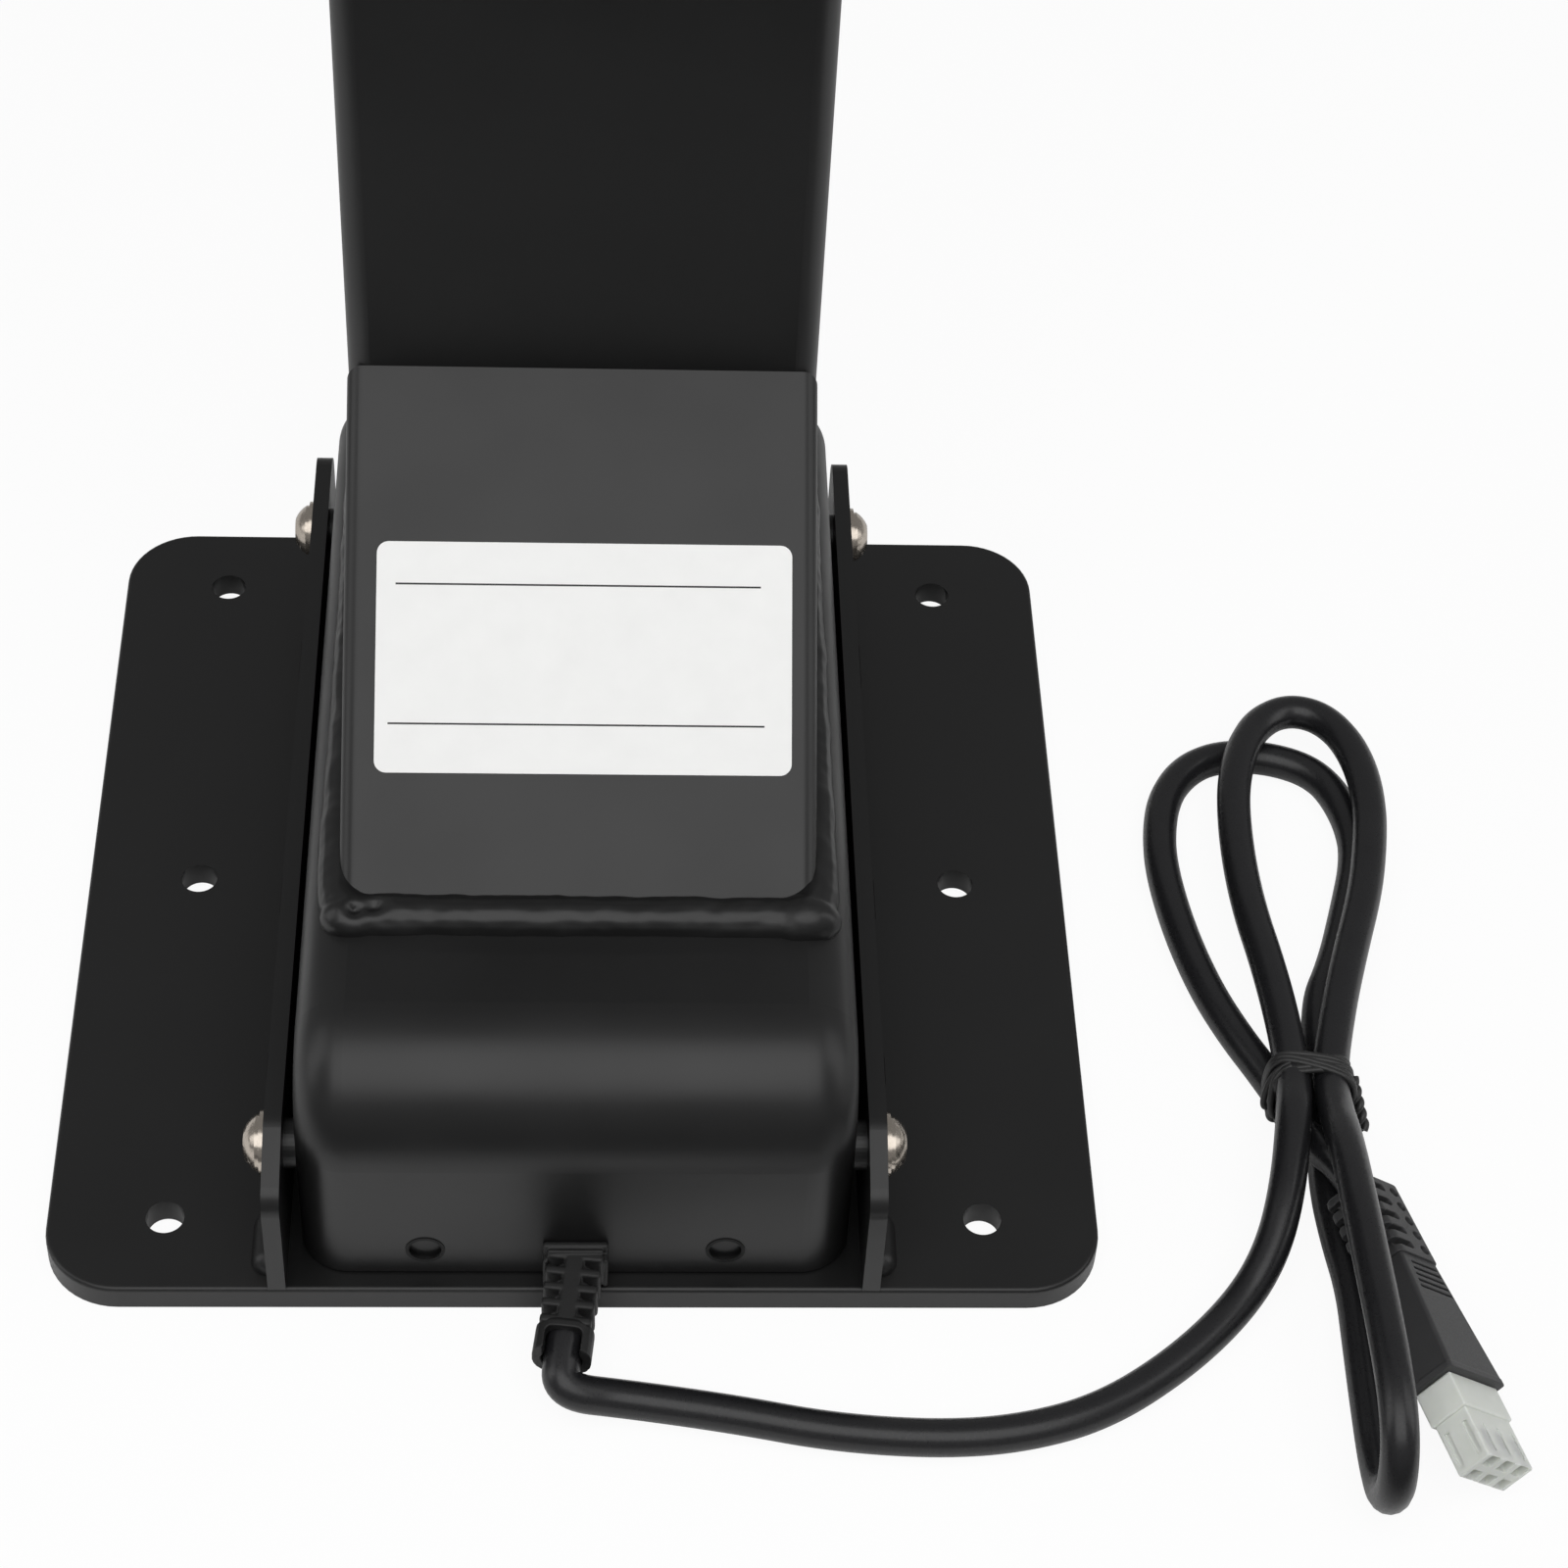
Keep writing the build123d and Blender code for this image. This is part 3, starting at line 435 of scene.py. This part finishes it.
def addFloor():
    bm = bmesh.new()
    bmesh.ops.create_grid(bm, x_segments=1, y_segments=1, size=3)
    floor = pieceFrom("floor", bm)
    floor.location.z = -0.0002
    material, tree, shader = newMaterial("palePaper")
    shader.inputs["Roughness"].default_value = 0.9
    # Painted light: the paper's colour is light near the object and falls to dark towards the camera,
    # standing in for light that falls off; the camera itself sees it white
    where = tree.nodes.new("ShaderNodeTexCoord")
    apart = tree.nodes.new("ShaderNodeSeparateXYZ")
    tree.links.new(where.outputs["Object"], apart.inputs["Vector"])
    fall = spread(tree, apart.outputs["Y"], stage["farPaper"], stage["nearPaper"], *stage["fall"])
    tone = tree.nodes.new("ShaderNodeCombineColor")
    for channel in ("Red", "Green", "Blue"):
        tree.links.new(fall, tone.inputs[channel])
    tree.links.new(tone.outputs["Color"], shader.inputs["Base Color"])
    rays = tree.nodes.new("ShaderNodeLightPath")
    white = tree.nodes.new("ShaderNodeEmission")
    white.inputs["Strength"].default_value = 1
    mix = tree.nodes.new("ShaderNodeMixShader")
    share = tree.nodes.new("ShaderNodeMath")
    share.operation = "MULTIPLY"
    share.inputs[1].default_value = stage["white"]
    tree.links.new(rays.outputs["Is Camera Ray"], share.inputs[0])
    tree.links.new(share.outputs["Value"], mix.inputs["Fac"])
    tree.links.new(shader.outputs["BSDF"], mix.inputs[1])
    tree.links.new(white.outputs["Emission"], mix.inputs[2])
    tree.links.new(mix.outputs["Shader"], tree.nodes["Material Output"].inputs["Surface"])
    floor.data.materials.append(material)


def addSoftbox(name, place, target, width, height, power, mirrored=True):
    data = bpy.data.lights.new(name, "AREA")
    data.shape = "RECTANGLE"
    data.size = width
    data.size_y = height
    data.energy = power
    lamp = bpy.data.objects.new(name, data)
    lamp.location = place
    aim = Vector(target) - Vector(place)
    lamp.rotation_euler = aim.to_track_quat("-Z", "Y").to_euler()
    lamp.visible_glossy = mirrored
    bpy.context.scene.collection.objects.link(lamp)


def addWorld():
    world = bpy.data.worlds.new("studio")
    bpy.context.scene.world = world
    world.use_nodes = True
    tree = world.node_tree
    back = tree.nodes["Background"]
    back.inputs["Color"].default_value = (1, 1, 1, 1)
    back.inputs["Strength"].default_value = stage["world"]
    seen = tree.nodes.new("ShaderNodeBackground")
    seen.inputs["Color"].default_value = (1, 1, 1, 1)
    seen.inputs["Strength"].default_value = 1
    rays = tree.nodes.new("ShaderNodeLightPath")
    mix = tree.nodes.new("ShaderNodeMixShader")
    gloss = tree.nodes.new("ShaderNodeMath")
    gloss.operation = "MULTIPLY_ADD"
    gloss.inputs[1].default_value = stage["mirrored"]
    tree.links.new(rays.outputs["Is Glossy Ray"], gloss.inputs[0])
    tree.links.new(rays.outputs["Is Camera Ray"], gloss.inputs[2])
    through = tree.nodes.new("ShaderNodeMath")
    through.operation = "MAXIMUM"
    tree.links.new(gloss.outputs["Value"], through.inputs[0])
    tree.links.new(rays.outputs["Is Transmission Ray"], through.inputs[1])
    tree.links.new(through.outputs["Value"], mix.inputs["Fac"])
    tree.links.new(back.outputs["Background"], mix.inputs[1])
    tree.links.new(seen.outputs["Background"], mix.inputs[2])
    tree.links.new(mix.outputs["Shader"], tree.nodes["World Output"].inputs["Surface"])


addFloor()
addWorld()
housingTop = (0, -0.05, 0.05)
columnFoot = (0, 0, 0.1)
addSoftbox("frontSoftbox", (0, -0.65, 1.09), housingTop, 1.4, 1.1, 7)
addSoftbox("fill", (0, -0.5, 1.3), housingTop, 1.5, 1.5, 11, mirrored=False)
addSoftbox("leftSoftbox", (-1.0, -0.1, 0.6), columnFoot, 0.5, 1.0, 1.8)
addSoftbox("rightSoftbox", (1.0, -0.1, 0.6), columnFoot, 0.5, 1.0, 1.8)
print("stage and lights ready")


# Label: a bare film with two thin rules

label = {
    "thick": 0.15 * mm,
    "corner": 2 * mm,
    "slopeTop": 108.8 * mm,  # height at which the brace's slope meets the column
    "ruleWide": 0.32 * mm,
    "ruleThick": 0.02 * mm,
    "rules": [(3.2 * mm, 61.5 * mm, 7.2 * mm), (2.2 * mm, 63.2 * mm, 30.9 * mm)],  # start, length, down
}


braceLow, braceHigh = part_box("sloped_brace")


def slopeFrame(node):
    # X to the right, Y up the slope and Z out of it, from the label's own box
    low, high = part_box(node)
    rise = label["slopeTop"] - braceLow.z
    up = Vector((0, braceHigh.y - braceLow.y, rise)).normalized()
    out = Vector((1, 0, 0)).cross(up)
    centre = (low + high) / 2 - out * label["thick"] / 2
    width = high.x - low.x
    length = ((high.y - low.y) - abs(out.y) * label["thick"]) / up.y
    turned = Matrix((Vector((1, 0, 0)), up, out)).transposed().to_4x4()
    return Matrix.Translation(centre) @ turned, width, length


def makeLabel():
    place, width, length = slopeFrame("rating_label")
    bm = bmesh.new()
    face = roundedRing(bm, width, length, label["corner"], 8)
    made = bmesh.ops.extrude_face_region(bm, geom=[face])
    top = [g for g in made["geom"] if isinstance(g, bmesh.types.BMVert)]
    bmesh.ops.translate(bm, verts=top, vec=(0, 0, label["thick"]))
    bmesh.ops.recalc_face_normals(bm, faces=bm.faces)
    bmesh.ops.transform(bm, matrix=place, verts=bm.verts)
    film = pieceFrom("blankLabel", bm)
    dress(film, "white_label")
    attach(film, "base")
    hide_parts("rating_label")
    bm = bmesh.new()
    for start, long, down in label["rules"]:
        spot = (-width / 2 + start + long / 2, length / 2 - down, label["thick"])
        addBlock(bm, spot, (long, label["ruleWide"], label["ruleThick"]))
    bmesh.ops.transform(bm, matrix=place, verts=bm.verts)
    rules = pieceFrom("labelRules", bm)
    dress(rules, "white_label", printBlack)
    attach(rules, "base")


makeLabel()
print("label made")


# Boot where the cord leaves the housing

boot = {
    "wide": 11 * mm,
    "high": 9 * mm,
    "axis": 9.9 * mm,  # height of its middle over the floor, at the wall
    "flange": 2.2 * mm,
    "plate": 1.3 * mm,
    "frontPlate": 0.8 * mm,
    "arm": 0.9 * mm,
    "armLong": 3 * mm,
    "soft": 0.5 * mm,
    "skin": 0.15 * mm,
    "rows": 4,
    "sleeve": 4.2 * mm,
    "sleeveWide": 9.8 * mm,
    "over": 1.4 * mm,  # how far the sleeve's lip goes on round the bending cord
    "spine": 3.2 * mm,
    "rib": 1.6 * mm,
    "core": 2.7 * mm,
    "bore": 3.35 * mm,
    "open": 6.2 * mm,
}


def makeBoot():
    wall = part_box("drive_housing")[0].y
    neck = Vector((0, wall - boot["flange"], boot["axis"]))
    mouth = Vector(cordRoute[1]) * mm
    axis = (mouth - neck).normalized()
    across = axis.cross(Vector((0, 0, 1))).normalized() * -1
    over = axis.cross(across)
    place = Matrix.Translation(neck) @ Matrix((across, over, axis)).transposed().to_4x4()
    reach = (mouth - neck).length
    ribbed = reach - boot["sleeve"]
    pitch = ribbed / boot["rows"]
    bm = bmesh.new()
    # The cord's own tube with a spine along it, and the ribs across
    made = bmesh.ops.create_cone(
        bm, cap_ends=True, segments=40, radius1=boot["core"], radius2=boot["core"], depth=ribbed + 3 * mm
    )
    bmesh.ops.translate(bm, verts=made["verts"], vec=(0, 0, ribbed / 2))
    thick = boot["high"] - 1.1 * mm
    addBlock(bm, (0, 0, ribbed / 2), (boot["spine"], thick, ribbed + 2 * mm), boot["soft"])
    for row in range(boot["rows"] + 1):
        share = row / boot["rows"]
        wide = boot["wide"] - (1.4 + 0.9 * share) * mm
        addBlock(bm, (0, 0, pitch * row), (wide, thick, boot["rib"]), boot["soft"])
    bmesh.ops.transform(bm, matrix=place, verts=bm.verts)
    # Two plates against the wall; the front one folds down at its ends
    plateSpot = (0, wall - boot["plate"] / 2, neck.z)
    addBlock(bm, plateSpot, (boot["wide"], boot["plate"], boot["high"]), 0.45 * mm)
    frontSpot = (0, wall - 1.9 * mm, neck.z + 0.2 * mm)
    frontSize = (boot["wide"] - 1.6 * mm, boot["frontPlate"], boot["high"] - 0.6 * mm)
    addBlock(bm, frontSpot, frontSize, 0.35 * mm)
    for side in (-1, 1):
        spot = (side * (boot["wide"] - boot["arm"]) / 2, wall - 1.7 * mm, neck.z - 0.8 * mm)
        addBlock(bm, spot, (boot["arm"], boot["armLong"], boot["high"] - 1.8 * mm), 0.4 * mm)
    body = softened(pieceFrom("cableBoot", bm), boot["skin"], 3)
    # End sleeve, open for the cord
    length = boot["sleeve"] + boot["over"]
    sleeve = pieceFrom("bootSleeve", loftedForm([
        (ribbed - 0.2 * mm, boot["sleeveWide"] - 0.8 * mm, boot["high"] - 1.2 * mm),
        (ribbed + 0.5 * mm, boot["sleeveWide"], boot["high"] - 0.3 * mm),
        (ribbed + length, boot["sleeveWide"] + 0.1 * mm, boot["high"] - 0.1 * mm),
    ], 3.2 * mm))
    bm = bmesh.new()
    flare = boot["bore"] + 0.35 * mm
    made = bmesh.ops.create_cone(
        bm, cap_ends=True, segments=48, radius1=boot["bore"], radius2=flare, depth=3 * length
    )
    bmesh.ops.translate(bm, verts=made["verts"], vec=(0, 0, ribbed + 0.8 * mm + 1.5 * length))
    # Its upper wall is cut back, so that the cord comes out between the two sides
    spot = (0, boot["high"] / 2, ribbed + 1.6 * mm + 1.5 * length)
    addBlock(bm, spot, (boot["open"], boot["high"], 3 * length), 0.8 * mm)
    sleeve = carve(sleeve, pieceFrom("bootMouth", bm))
    sleeve.data.transform(place)
    sleeve = softened(sleeve, boot["skin"], 3)
    bm = bmesh.new()
    for part in (body, sleeve):
        bm.from_mesh(part.data)
        bpy.data.objects.remove(part)
    piece = smoothShaded(pieceFrom("cableBoot", bm))
    dress(piece, "black_soft_plastic")
    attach(piece, "base")
    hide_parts("cable_boot")
    return piece


bootPiece = makeBoot()
print("boot made")


# Spacers round the side screws, between the housing and the side plates

spacer = {
    "wide": 8.4 * mm,
    "bore": 5.6 * mm,
}


def ringSet(name, places, axis, wide, bore, deep):
    # Flat rings of one size, all about the same axis
    shapes = []
    for width, long in ((wide, deep), (bore, 2 * deep)):
        bm = bmesh.new()
        for place in places:
            made = bmesh.ops.create_cone(
                bm, cap_ends=True, segments=40, radius1=width / 2, radius2=width / 2, depth=long
            )
            turned = Matrix.Rotation(math.radians(90), 4, axis)
            bmesh.ops.transform(bm, matrix=turned, verts=made["verts"])
            bmesh.ops.translate(bm, verts=made["verts"], vec=place)
        shapes.append(pieceFrom(name, bm))
    rings = carve(*shapes)
    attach(rings, "base")
    return rings


def makeSpacers():
    low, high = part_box("side_washers")
    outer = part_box("drive_housing")[1].x
    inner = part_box("side_plate_right")[0].x
    radius = (high.z - low.z) / 2
    places = []
    for side in (-1, 1):
        for y in (low.y + radius, high.y - radius):
            places.append((side * (inner + outer) / 2, y, low.z + radius))
    rings = ringSet("screwSpacers", places, "Y", spacer["wide"], spacer["bore"], inner - outer)
    dress(rings, "black_powder_coat")


makeSpacers()
print("spacers made")


# Painted shade: a near-black ring round the edge of each of the two recessed rivets in the housing's
# front, where the recess lies in shade

rivetEdge = {
    "line": 0.45 * mm,
    "past": 0.3 * mm,
    "deep": 0.3 * mm,
}


def makeRivetEdges():
    low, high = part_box("housing_rivets")
    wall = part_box("drive_housing")[0].y
    wide = high.z - low.z
    middle = (low.z + high.z) / 2
    places = [(x, wall, middle) for x in (low.x + wide / 2, high.x - wide / 2)]
    outside, inside = wide + rivetEdge["past"], wide - 2 * rivetEdge["line"]
    rings = ringSet("rivetEdges", places, "X", outside, inside, rivetEdge["deep"])
    # the near-black ring is painted shade at the edge of each rivet recess
    dress(rings, "black_soft_plastic", paintedRecessShade)


makeRivetEdges()
print("rivet edges made")


# Plug and its connector

plug = {
    "start": (135.4, -74.9, 9.7),
    "end": (146.5, -114.9, 9.4),
    "roll": 42,
    "wide": 16.6 * mm,
    "high": 9 * mm,
    "neck": 9.6 * mm,
    "bootLong": 17 * mm,
    "rim": 1.3 * mm,
    "rows": 5,
    "pitch": 3.1 * mm,
    "rib": 1.75 * mm,
    "slot": 1.45 * mm,
    "slotSoft": 0.45 * mm,
    "hole": (2.1 * mm, 4.4 * mm, 1.8 * mm),
    "holeInset": 2.9 * mm,
    "flare": 1.6 * mm,  # how much wider the boot gets towards the handle
    "bootHigh": 9.6 * mm,
    "bootWide": 10.2 * mm,
    "grips": 5,
    "gripPitch": 1.33 * mm,
    "gripWide": (7.8 * mm, 9.8 * mm),
    "grip": (1.8 * mm, 0.55 * mm),  # depth across the face, and width
}


def plugFrame():
    start, end = Vector(plug["start"]) * mm, Vector(plug["end"]) * mm
    axis = (end - start).normalized()
    level = axis.cross(Vector((0, 0, 1))).normalized() * -1
    up = level.cross(axis) * -1
    roll = math.radians(plug["roll"])
    across = level * math.cos(roll) - up * math.sin(roll)
    out = axis.cross(across)
    turned = Matrix((across, out, axis)).transposed().to_4x4()
    return Matrix.Translation(start) @ turned, (end - start).length


def makePlug():
    place, length = plugFrame()
    wide, high, reach = plug["wide"], plug["bootHigh"], plug["bootLong"]
    # A tapered block, slotted across and round its left side, with a row of small holes at the right
    piece = pieceFrom("plugBoot", loftedForm([
        (0, plug["bootWide"] - 0.8 * mm, high - 0.6 * mm),
        (0.5 * mm, plug["bootWide"], high),
        (reach, plug["bootWide"] + plug["flare"], high),
    ], 1.2 * mm))
    bm = bmesh.new()
    for row in range(plug["rows"]):
        along = plug["rib"] / 2 + (row + 0.5) * plug["pitch"]
        half = (plug["bootWide"] + plug["flare"] * along / reach) / 2
        addBlock(bm, (-half, 0, along), (3.2 * mm, high + 2 * mm, plug["slot"]), plug["slotSoft"])
        for side in (-1, 1):
            spot = (-half / 2 - 0.4 * mm, side * high / 2, along)
            addBlock(bm, spot, (half - 0.4 * mm, 3.6 * mm, plug["slot"]), plug["slotSoft"])
            addOval(bm, (half - plug["holeInset"], side * high / 2, along), plug["hole"])
    piece = carve(piece, pieceFrom("plugSlots", bm))
    piece = softened(piece, 0.16 * mm, 2)
    high = plug["high"]
    handle = pieceFrom("plugHandle", loftedForm([
        (reach - 0.9 * mm, plug["neck"] + 0.8 * mm, high - 0.2 * mm),
        (length - plug["rim"], wide - 0.4 * mm, high - 0.1 * mm),
        (length - plug["rim"] + 0.15 * mm, wide, high),
        (length, wide, high),
    ], 0.6 * mm))
    bm = bmesh.new()
    narrow, broad = plug["gripWide"]
    for grip in range(plug["grips"]):
        along = reach + 1.6 * mm + grip * plug["gripPitch"]
        across = narrow + (broad - narrow) * grip / (plug["grips"] - 1)
        for side in (-1, 1):
            spot = (0.7 * mm, side * high / 2, along)
            addBlock(bm, spot, (across, *plug["grip"]), 0.15 * mm)
    handle = carve(handle, pieceFrom("plugGrips", bm))
    handle = softened(handle, 0.14 * mm, 1)
    bm = bmesh.new()
    for part in (piece, handle):
        bm.from_mesh(part.data)
        bpy.data.objects.remove(part)
    bmesh.ops.transform(bm, matrix=place, verts=bm.verts)
    body = smoothShaded(pieceFrom("plugBody", bm))
    dress(body, "black_plastic", plugGrain)
    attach(body, "base")
    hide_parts("plug_body")
    return body


connector = {
    "wide": 14.2 * mm,
    "high": 7.5 * mm,
    "sunk": 0.55 * mm,  # it sits lower than the middle of the plug's mouth
    "long": 16.2 * mm,
    "collar": 6.6 * mm,
    "pitch": 4.2 * mm,
    "rowShare": 0.92,  # the rows lie a little closer than the columns
    "cell": (2.7 * mm, 2.5 * mm, 6 * mm),
    "slit": (0.5 * mm, 1.6 * mm, 5.4 * mm),
    "window": (1.9 * mm, 0.9 * mm, 6.4 * mm),
    "contact": (0.95 * mm, 0.85 * mm, 9 * mm),  # radius at its root and tip, and length
}


def makeConnector():
    place, length = plugFrame()
    wide, high = connector["wide"], connector["high"]
    bm = bmesh.new()
    addBlock(bm, (0, 0, connector["collar"] / 2), (wide, high, connector["collar"]), 0.35 * mm)
    body = pieceFrom("plugConnector", bm)
    bm = bmesh.new()
    noseSize = (wide - 1.1 * mm, high - 0.9 * mm, connector["long"])
    addBlock(bm, (0, 0, connector["long"] / 2), noseSize, 0.3 * mm)
    body = carve(body, pieceFrom("connectorNose", bm), "UNION")
    bm = bmesh.new()
    for column in (-1, 0, 1):
        for row in (-0.5, 0.5):
            x, y = column * connector["pitch"], row * connector["pitch"] * connector["rowShare"]
            addBlock(bm, (x, y, connector["long"] - 2.6 * mm), connector["cell"], 0.3 * mm)
            side = 1 if row > 0 else -1
            spot = (x + 0.9 * mm, side * high / 2, connector["long"] - 4.2 * mm)
            addBlock(bm, spot, connector["slit"], 0.15 * mm)
    for side in (-1, 1):
        for row in (-0.5, 0.5):
            y = row * connector["pitch"] * connector["rowShare"]
            spot = (side * wide / 2, y, connector["long"] - 4.4 * mm)
            addBlock(bm, spot, connector["window"], 0.2 * mm)
    body = carve(body, pieceFrom("connectorCells", bm))
    body.data.transform(Matrix.Translation((0, -connector["sunk"], length)))
    body.data.transform(place)
    dress(body, "milky_nylon")
    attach(body, "base")
    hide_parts("plug_connector")
    bm = bmesh.new()
    root, tip, contactLong = connector["contact"]
    for column in (-1, 0, 1):
        for row in (-0.5, 0.5):
            x, y = column * connector["pitch"], row * connector["pitch"] * connector["rowShare"]
            made = bmesh.ops.create_cone(
                bm, cap_ends=True, segments=20, radius1=root, radius2=tip, depth=contactLong
            )
            spot = (x, y - connector["sunk"], length + connector["long"] - 6.4 * mm)
            bmesh.ops.translate(bm, verts=made["verts"], vec=spot)
    bmesh.ops.transform(bm, matrix=place, verts=bm.verts)
    contacts = smoothShaded(pieceFrom("plugContacts", bm))
    dress(contacts, "zinc_steel")
    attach(contacts, "base")
    return body, contacts


plugPiece = makePlug()
connectorPiece, contactsPiece = makeConnector()
print("plug made")


# Twist tie round the hank

tie = {
    "strip": 1.15 * mm,
    "tail": 1.35 * mm,
    "strands": (126.7, 133.4, 3.25, 9.8),  # left and right, low and high middles of the four strands
    "wraps": [  # y at the left, y at the right, stand-off
        (-50.4, -48.2, 0.0),
        (-48.6, -50.8, 0.5),
        (-50.9, -50.2, 0.2),
        (-47.6, -48.6, 0.3),
    ],
}


def wrapPoints(leftY, rightY, standOff):
    # Round the bundle of four strands, seen along the strands
    left, right, low, high = tie["strands"]
    reach = cord["diameter"] / mm / 2 + tie["strip"] / mm / 2 - 0.1 + standOff
    points = []
    corners = [(right, low, -45), (right, high, 45), (left, high, 135), (left, low, 225)]
    for x, z, angle in corners:
        for turn in (-38, 0, 38):
            heading = math.radians(angle + turn)
            px = x + reach * math.cos(heading)
            pz = max(z + reach * math.sin(heading), 0.65)  # never through the floor
            share = (px - left) / (right - left)
            wobble = 0.35 * math.sin(px * 1.7 + pz)
            points.append((px, leftY + (rightY - leftY) * share + wobble, pz))
    return points


def closedStrip(name, points, thick):
    # A closed loop of tie strip, through the wrap's points
    obj = splineCurve(name, points, thick, 3)
    obj.data.use_fill_caps = False
    obj.data.splines[0].use_endpoint_u = False
    obj.data.splines[0].use_cyclic_u = True
    return obj


def makeTie():
    strips = []
    for index, (leftY, rightY, standOff) in enumerate(tie["wraps"]):
        for offset in (-0.42, 0.42):
            loop = wrapPoints(leftY + offset, rightY + offset, standOff)
            strips.append(closedStrip(f"tieWrap{index}", loop, tie["strip"]))
    # The ends, folded back at the left
    folds = [
        [
            (126, -48.9, 13.5), (123.6, -49.4, 12.2), (122.0, -51.0, 9.0), (121.4, -52.6, 6.0),
            (122.6, -52.8, 5.2), (123.4, -51.0, 8.0), (124.2, -50.0, 10.5),
        ],
        [
            (126, -49.8, 13.6), (123.2, -50.6, 12.4), (122.4, -53.0, 8.6), (122.9, -54.6, 5.4),
            (124.2, -54.2, 5.0), (124.4, -52.0, 8.4), (124.2, -50.6, 10.5),
        ],
    ]
    for index, points in enumerate(folds):
        strips.append(splineCurve(f"tieFold{index}", points, tie["strip"], 3))
    # The twisted tail at the right
    tailStart, tailEnd = Vector((137.2, -50.2, 10.6)), Vector((139.6, -56.0, 3.4))
    along = tailEnd - tailStart
    side = along.cross(Vector((0, 0, 1))).normalized()
    other = along.cross(side).normalized()
    for strand in (0, 1):
        points = []
        for step in range(17):
            share = step / 16
            angle = math.radians(step * 52 + strand * 180)
            offset = side * math.cos(angle) + other * math.sin(angle)
            points.append(tuple(tailStart + along * share + offset * 0.62))
        strips.append(splineCurve(f"tieTail{strand}", points, tie["tail"], 3))
    bpy.context.view_layer.update()
    graph = bpy.context.evaluated_depsgraph_get()
    bm = bmesh.new()
    for strip in strips:
        mesh = bpy.data.meshes.new_from_object(strip.evaluated_get(graph))
        bm.from_mesh(mesh)
        bpy.data.objects.remove(strip)
    piece = smoothShaded(pieceFrom("cordTie", bm))
    dress(piece, "black_plastic", tieStrip)
    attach(piece, "base")
    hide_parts("cord_tie")
    return piece


tiePiece = makeTie()
print("tie made")


# Weld bead round the brace's foot, running on along the column's foot

weld = {
    "bead": 3.9 * mm,
    "lump": 0.35 * mm,
    "lumpLong": 7 * mm,
    "voxel": 0.45 * mm,
    "corner": 5 * mm,
    "behind": 50 * mm,  # how far the bead runs on along the column, past the brace
    "pit": 1.5 * mm,
    "pitGap": 3.2 * mm,
}


def makeWeld():
    half = (braceHigh.x - braceLow.x) / 2
    toe = braceLow.y
    back = braceHigh.y + weld["behind"]
    deck = braceLow.z
    corner = weld["corner"]
    middle = (toe + back) / 2
    ring = []
    for sideX, sideY, start in ((1, 1, 0), (-1, 1, 90), (-1, -1, 180), (1, -1, 270)):
        for step in range(5):
            angle = math.radians(start + 22.5 * step)
            x = sideX * (half - corner) + corner * math.cos(angle)
            y = middle + sideY * ((back - toe) / 2 - corner) + corner * math.sin(angle)
            ring.append((x / mm, y / mm, deck / mm))
    path = closedStrip("weldPath", ring, 2 * weld["bead"])
    path.data.bevel_resolution = 6
    path.data.splines[0].order_u = 2
    bead = applied(path)
    bm = bmesh.new()
    bm.from_mesh(bead.data)
    bpy.data.objects.remove(bead)
    # End blobs at the front corners
    addOval(bm, (-half + 2.5 * mm, toe - 0.2 * mm, deck), (11 * mm, 8.6 * mm, 8.4 * mm))
    addOval(bm, (half - 2.5 * mm, toe - 0.2 * mm, deck), (13 * mm, 8.8 * mm, 9.0 * mm))
    piece = pieceFrom("braceWeld", bm)
    piece = softened(piece, weld["voxel"], 2)
    bm = bmesh.new()
    bm.from_mesh(piece.data)
    bpy.data.objects.remove(piece)
    pit = Vector((-half + 3 * mm, toe - 1.2 * mm, deck + 4.2 * mm))
    for vert in bm.verts:
        where = vert.co / weld["lumpLong"]
        push = noise.noise(where) * weld["lump"]
        push += noise.noise(where * 3.1) * weld["lump"] * 0.35
        for shift in (0, weld["pitGap"]):
            gap = (vert.co - pit - Vector((shift, 0.3 * shift, 0))).length
            push -= weld["pit"] * math.exp(-(gap / weld["pit"]) ** 2)
        vert.co += vert.normal * push
    piece = smoothShaded(pieceFrom("braceWeld", bm))
    dress(piece, "black_weld")
    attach(piece, "base")
    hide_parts("brace_weld")


makeWeld()
print("weld made")

bpy.context.view_layer.update()
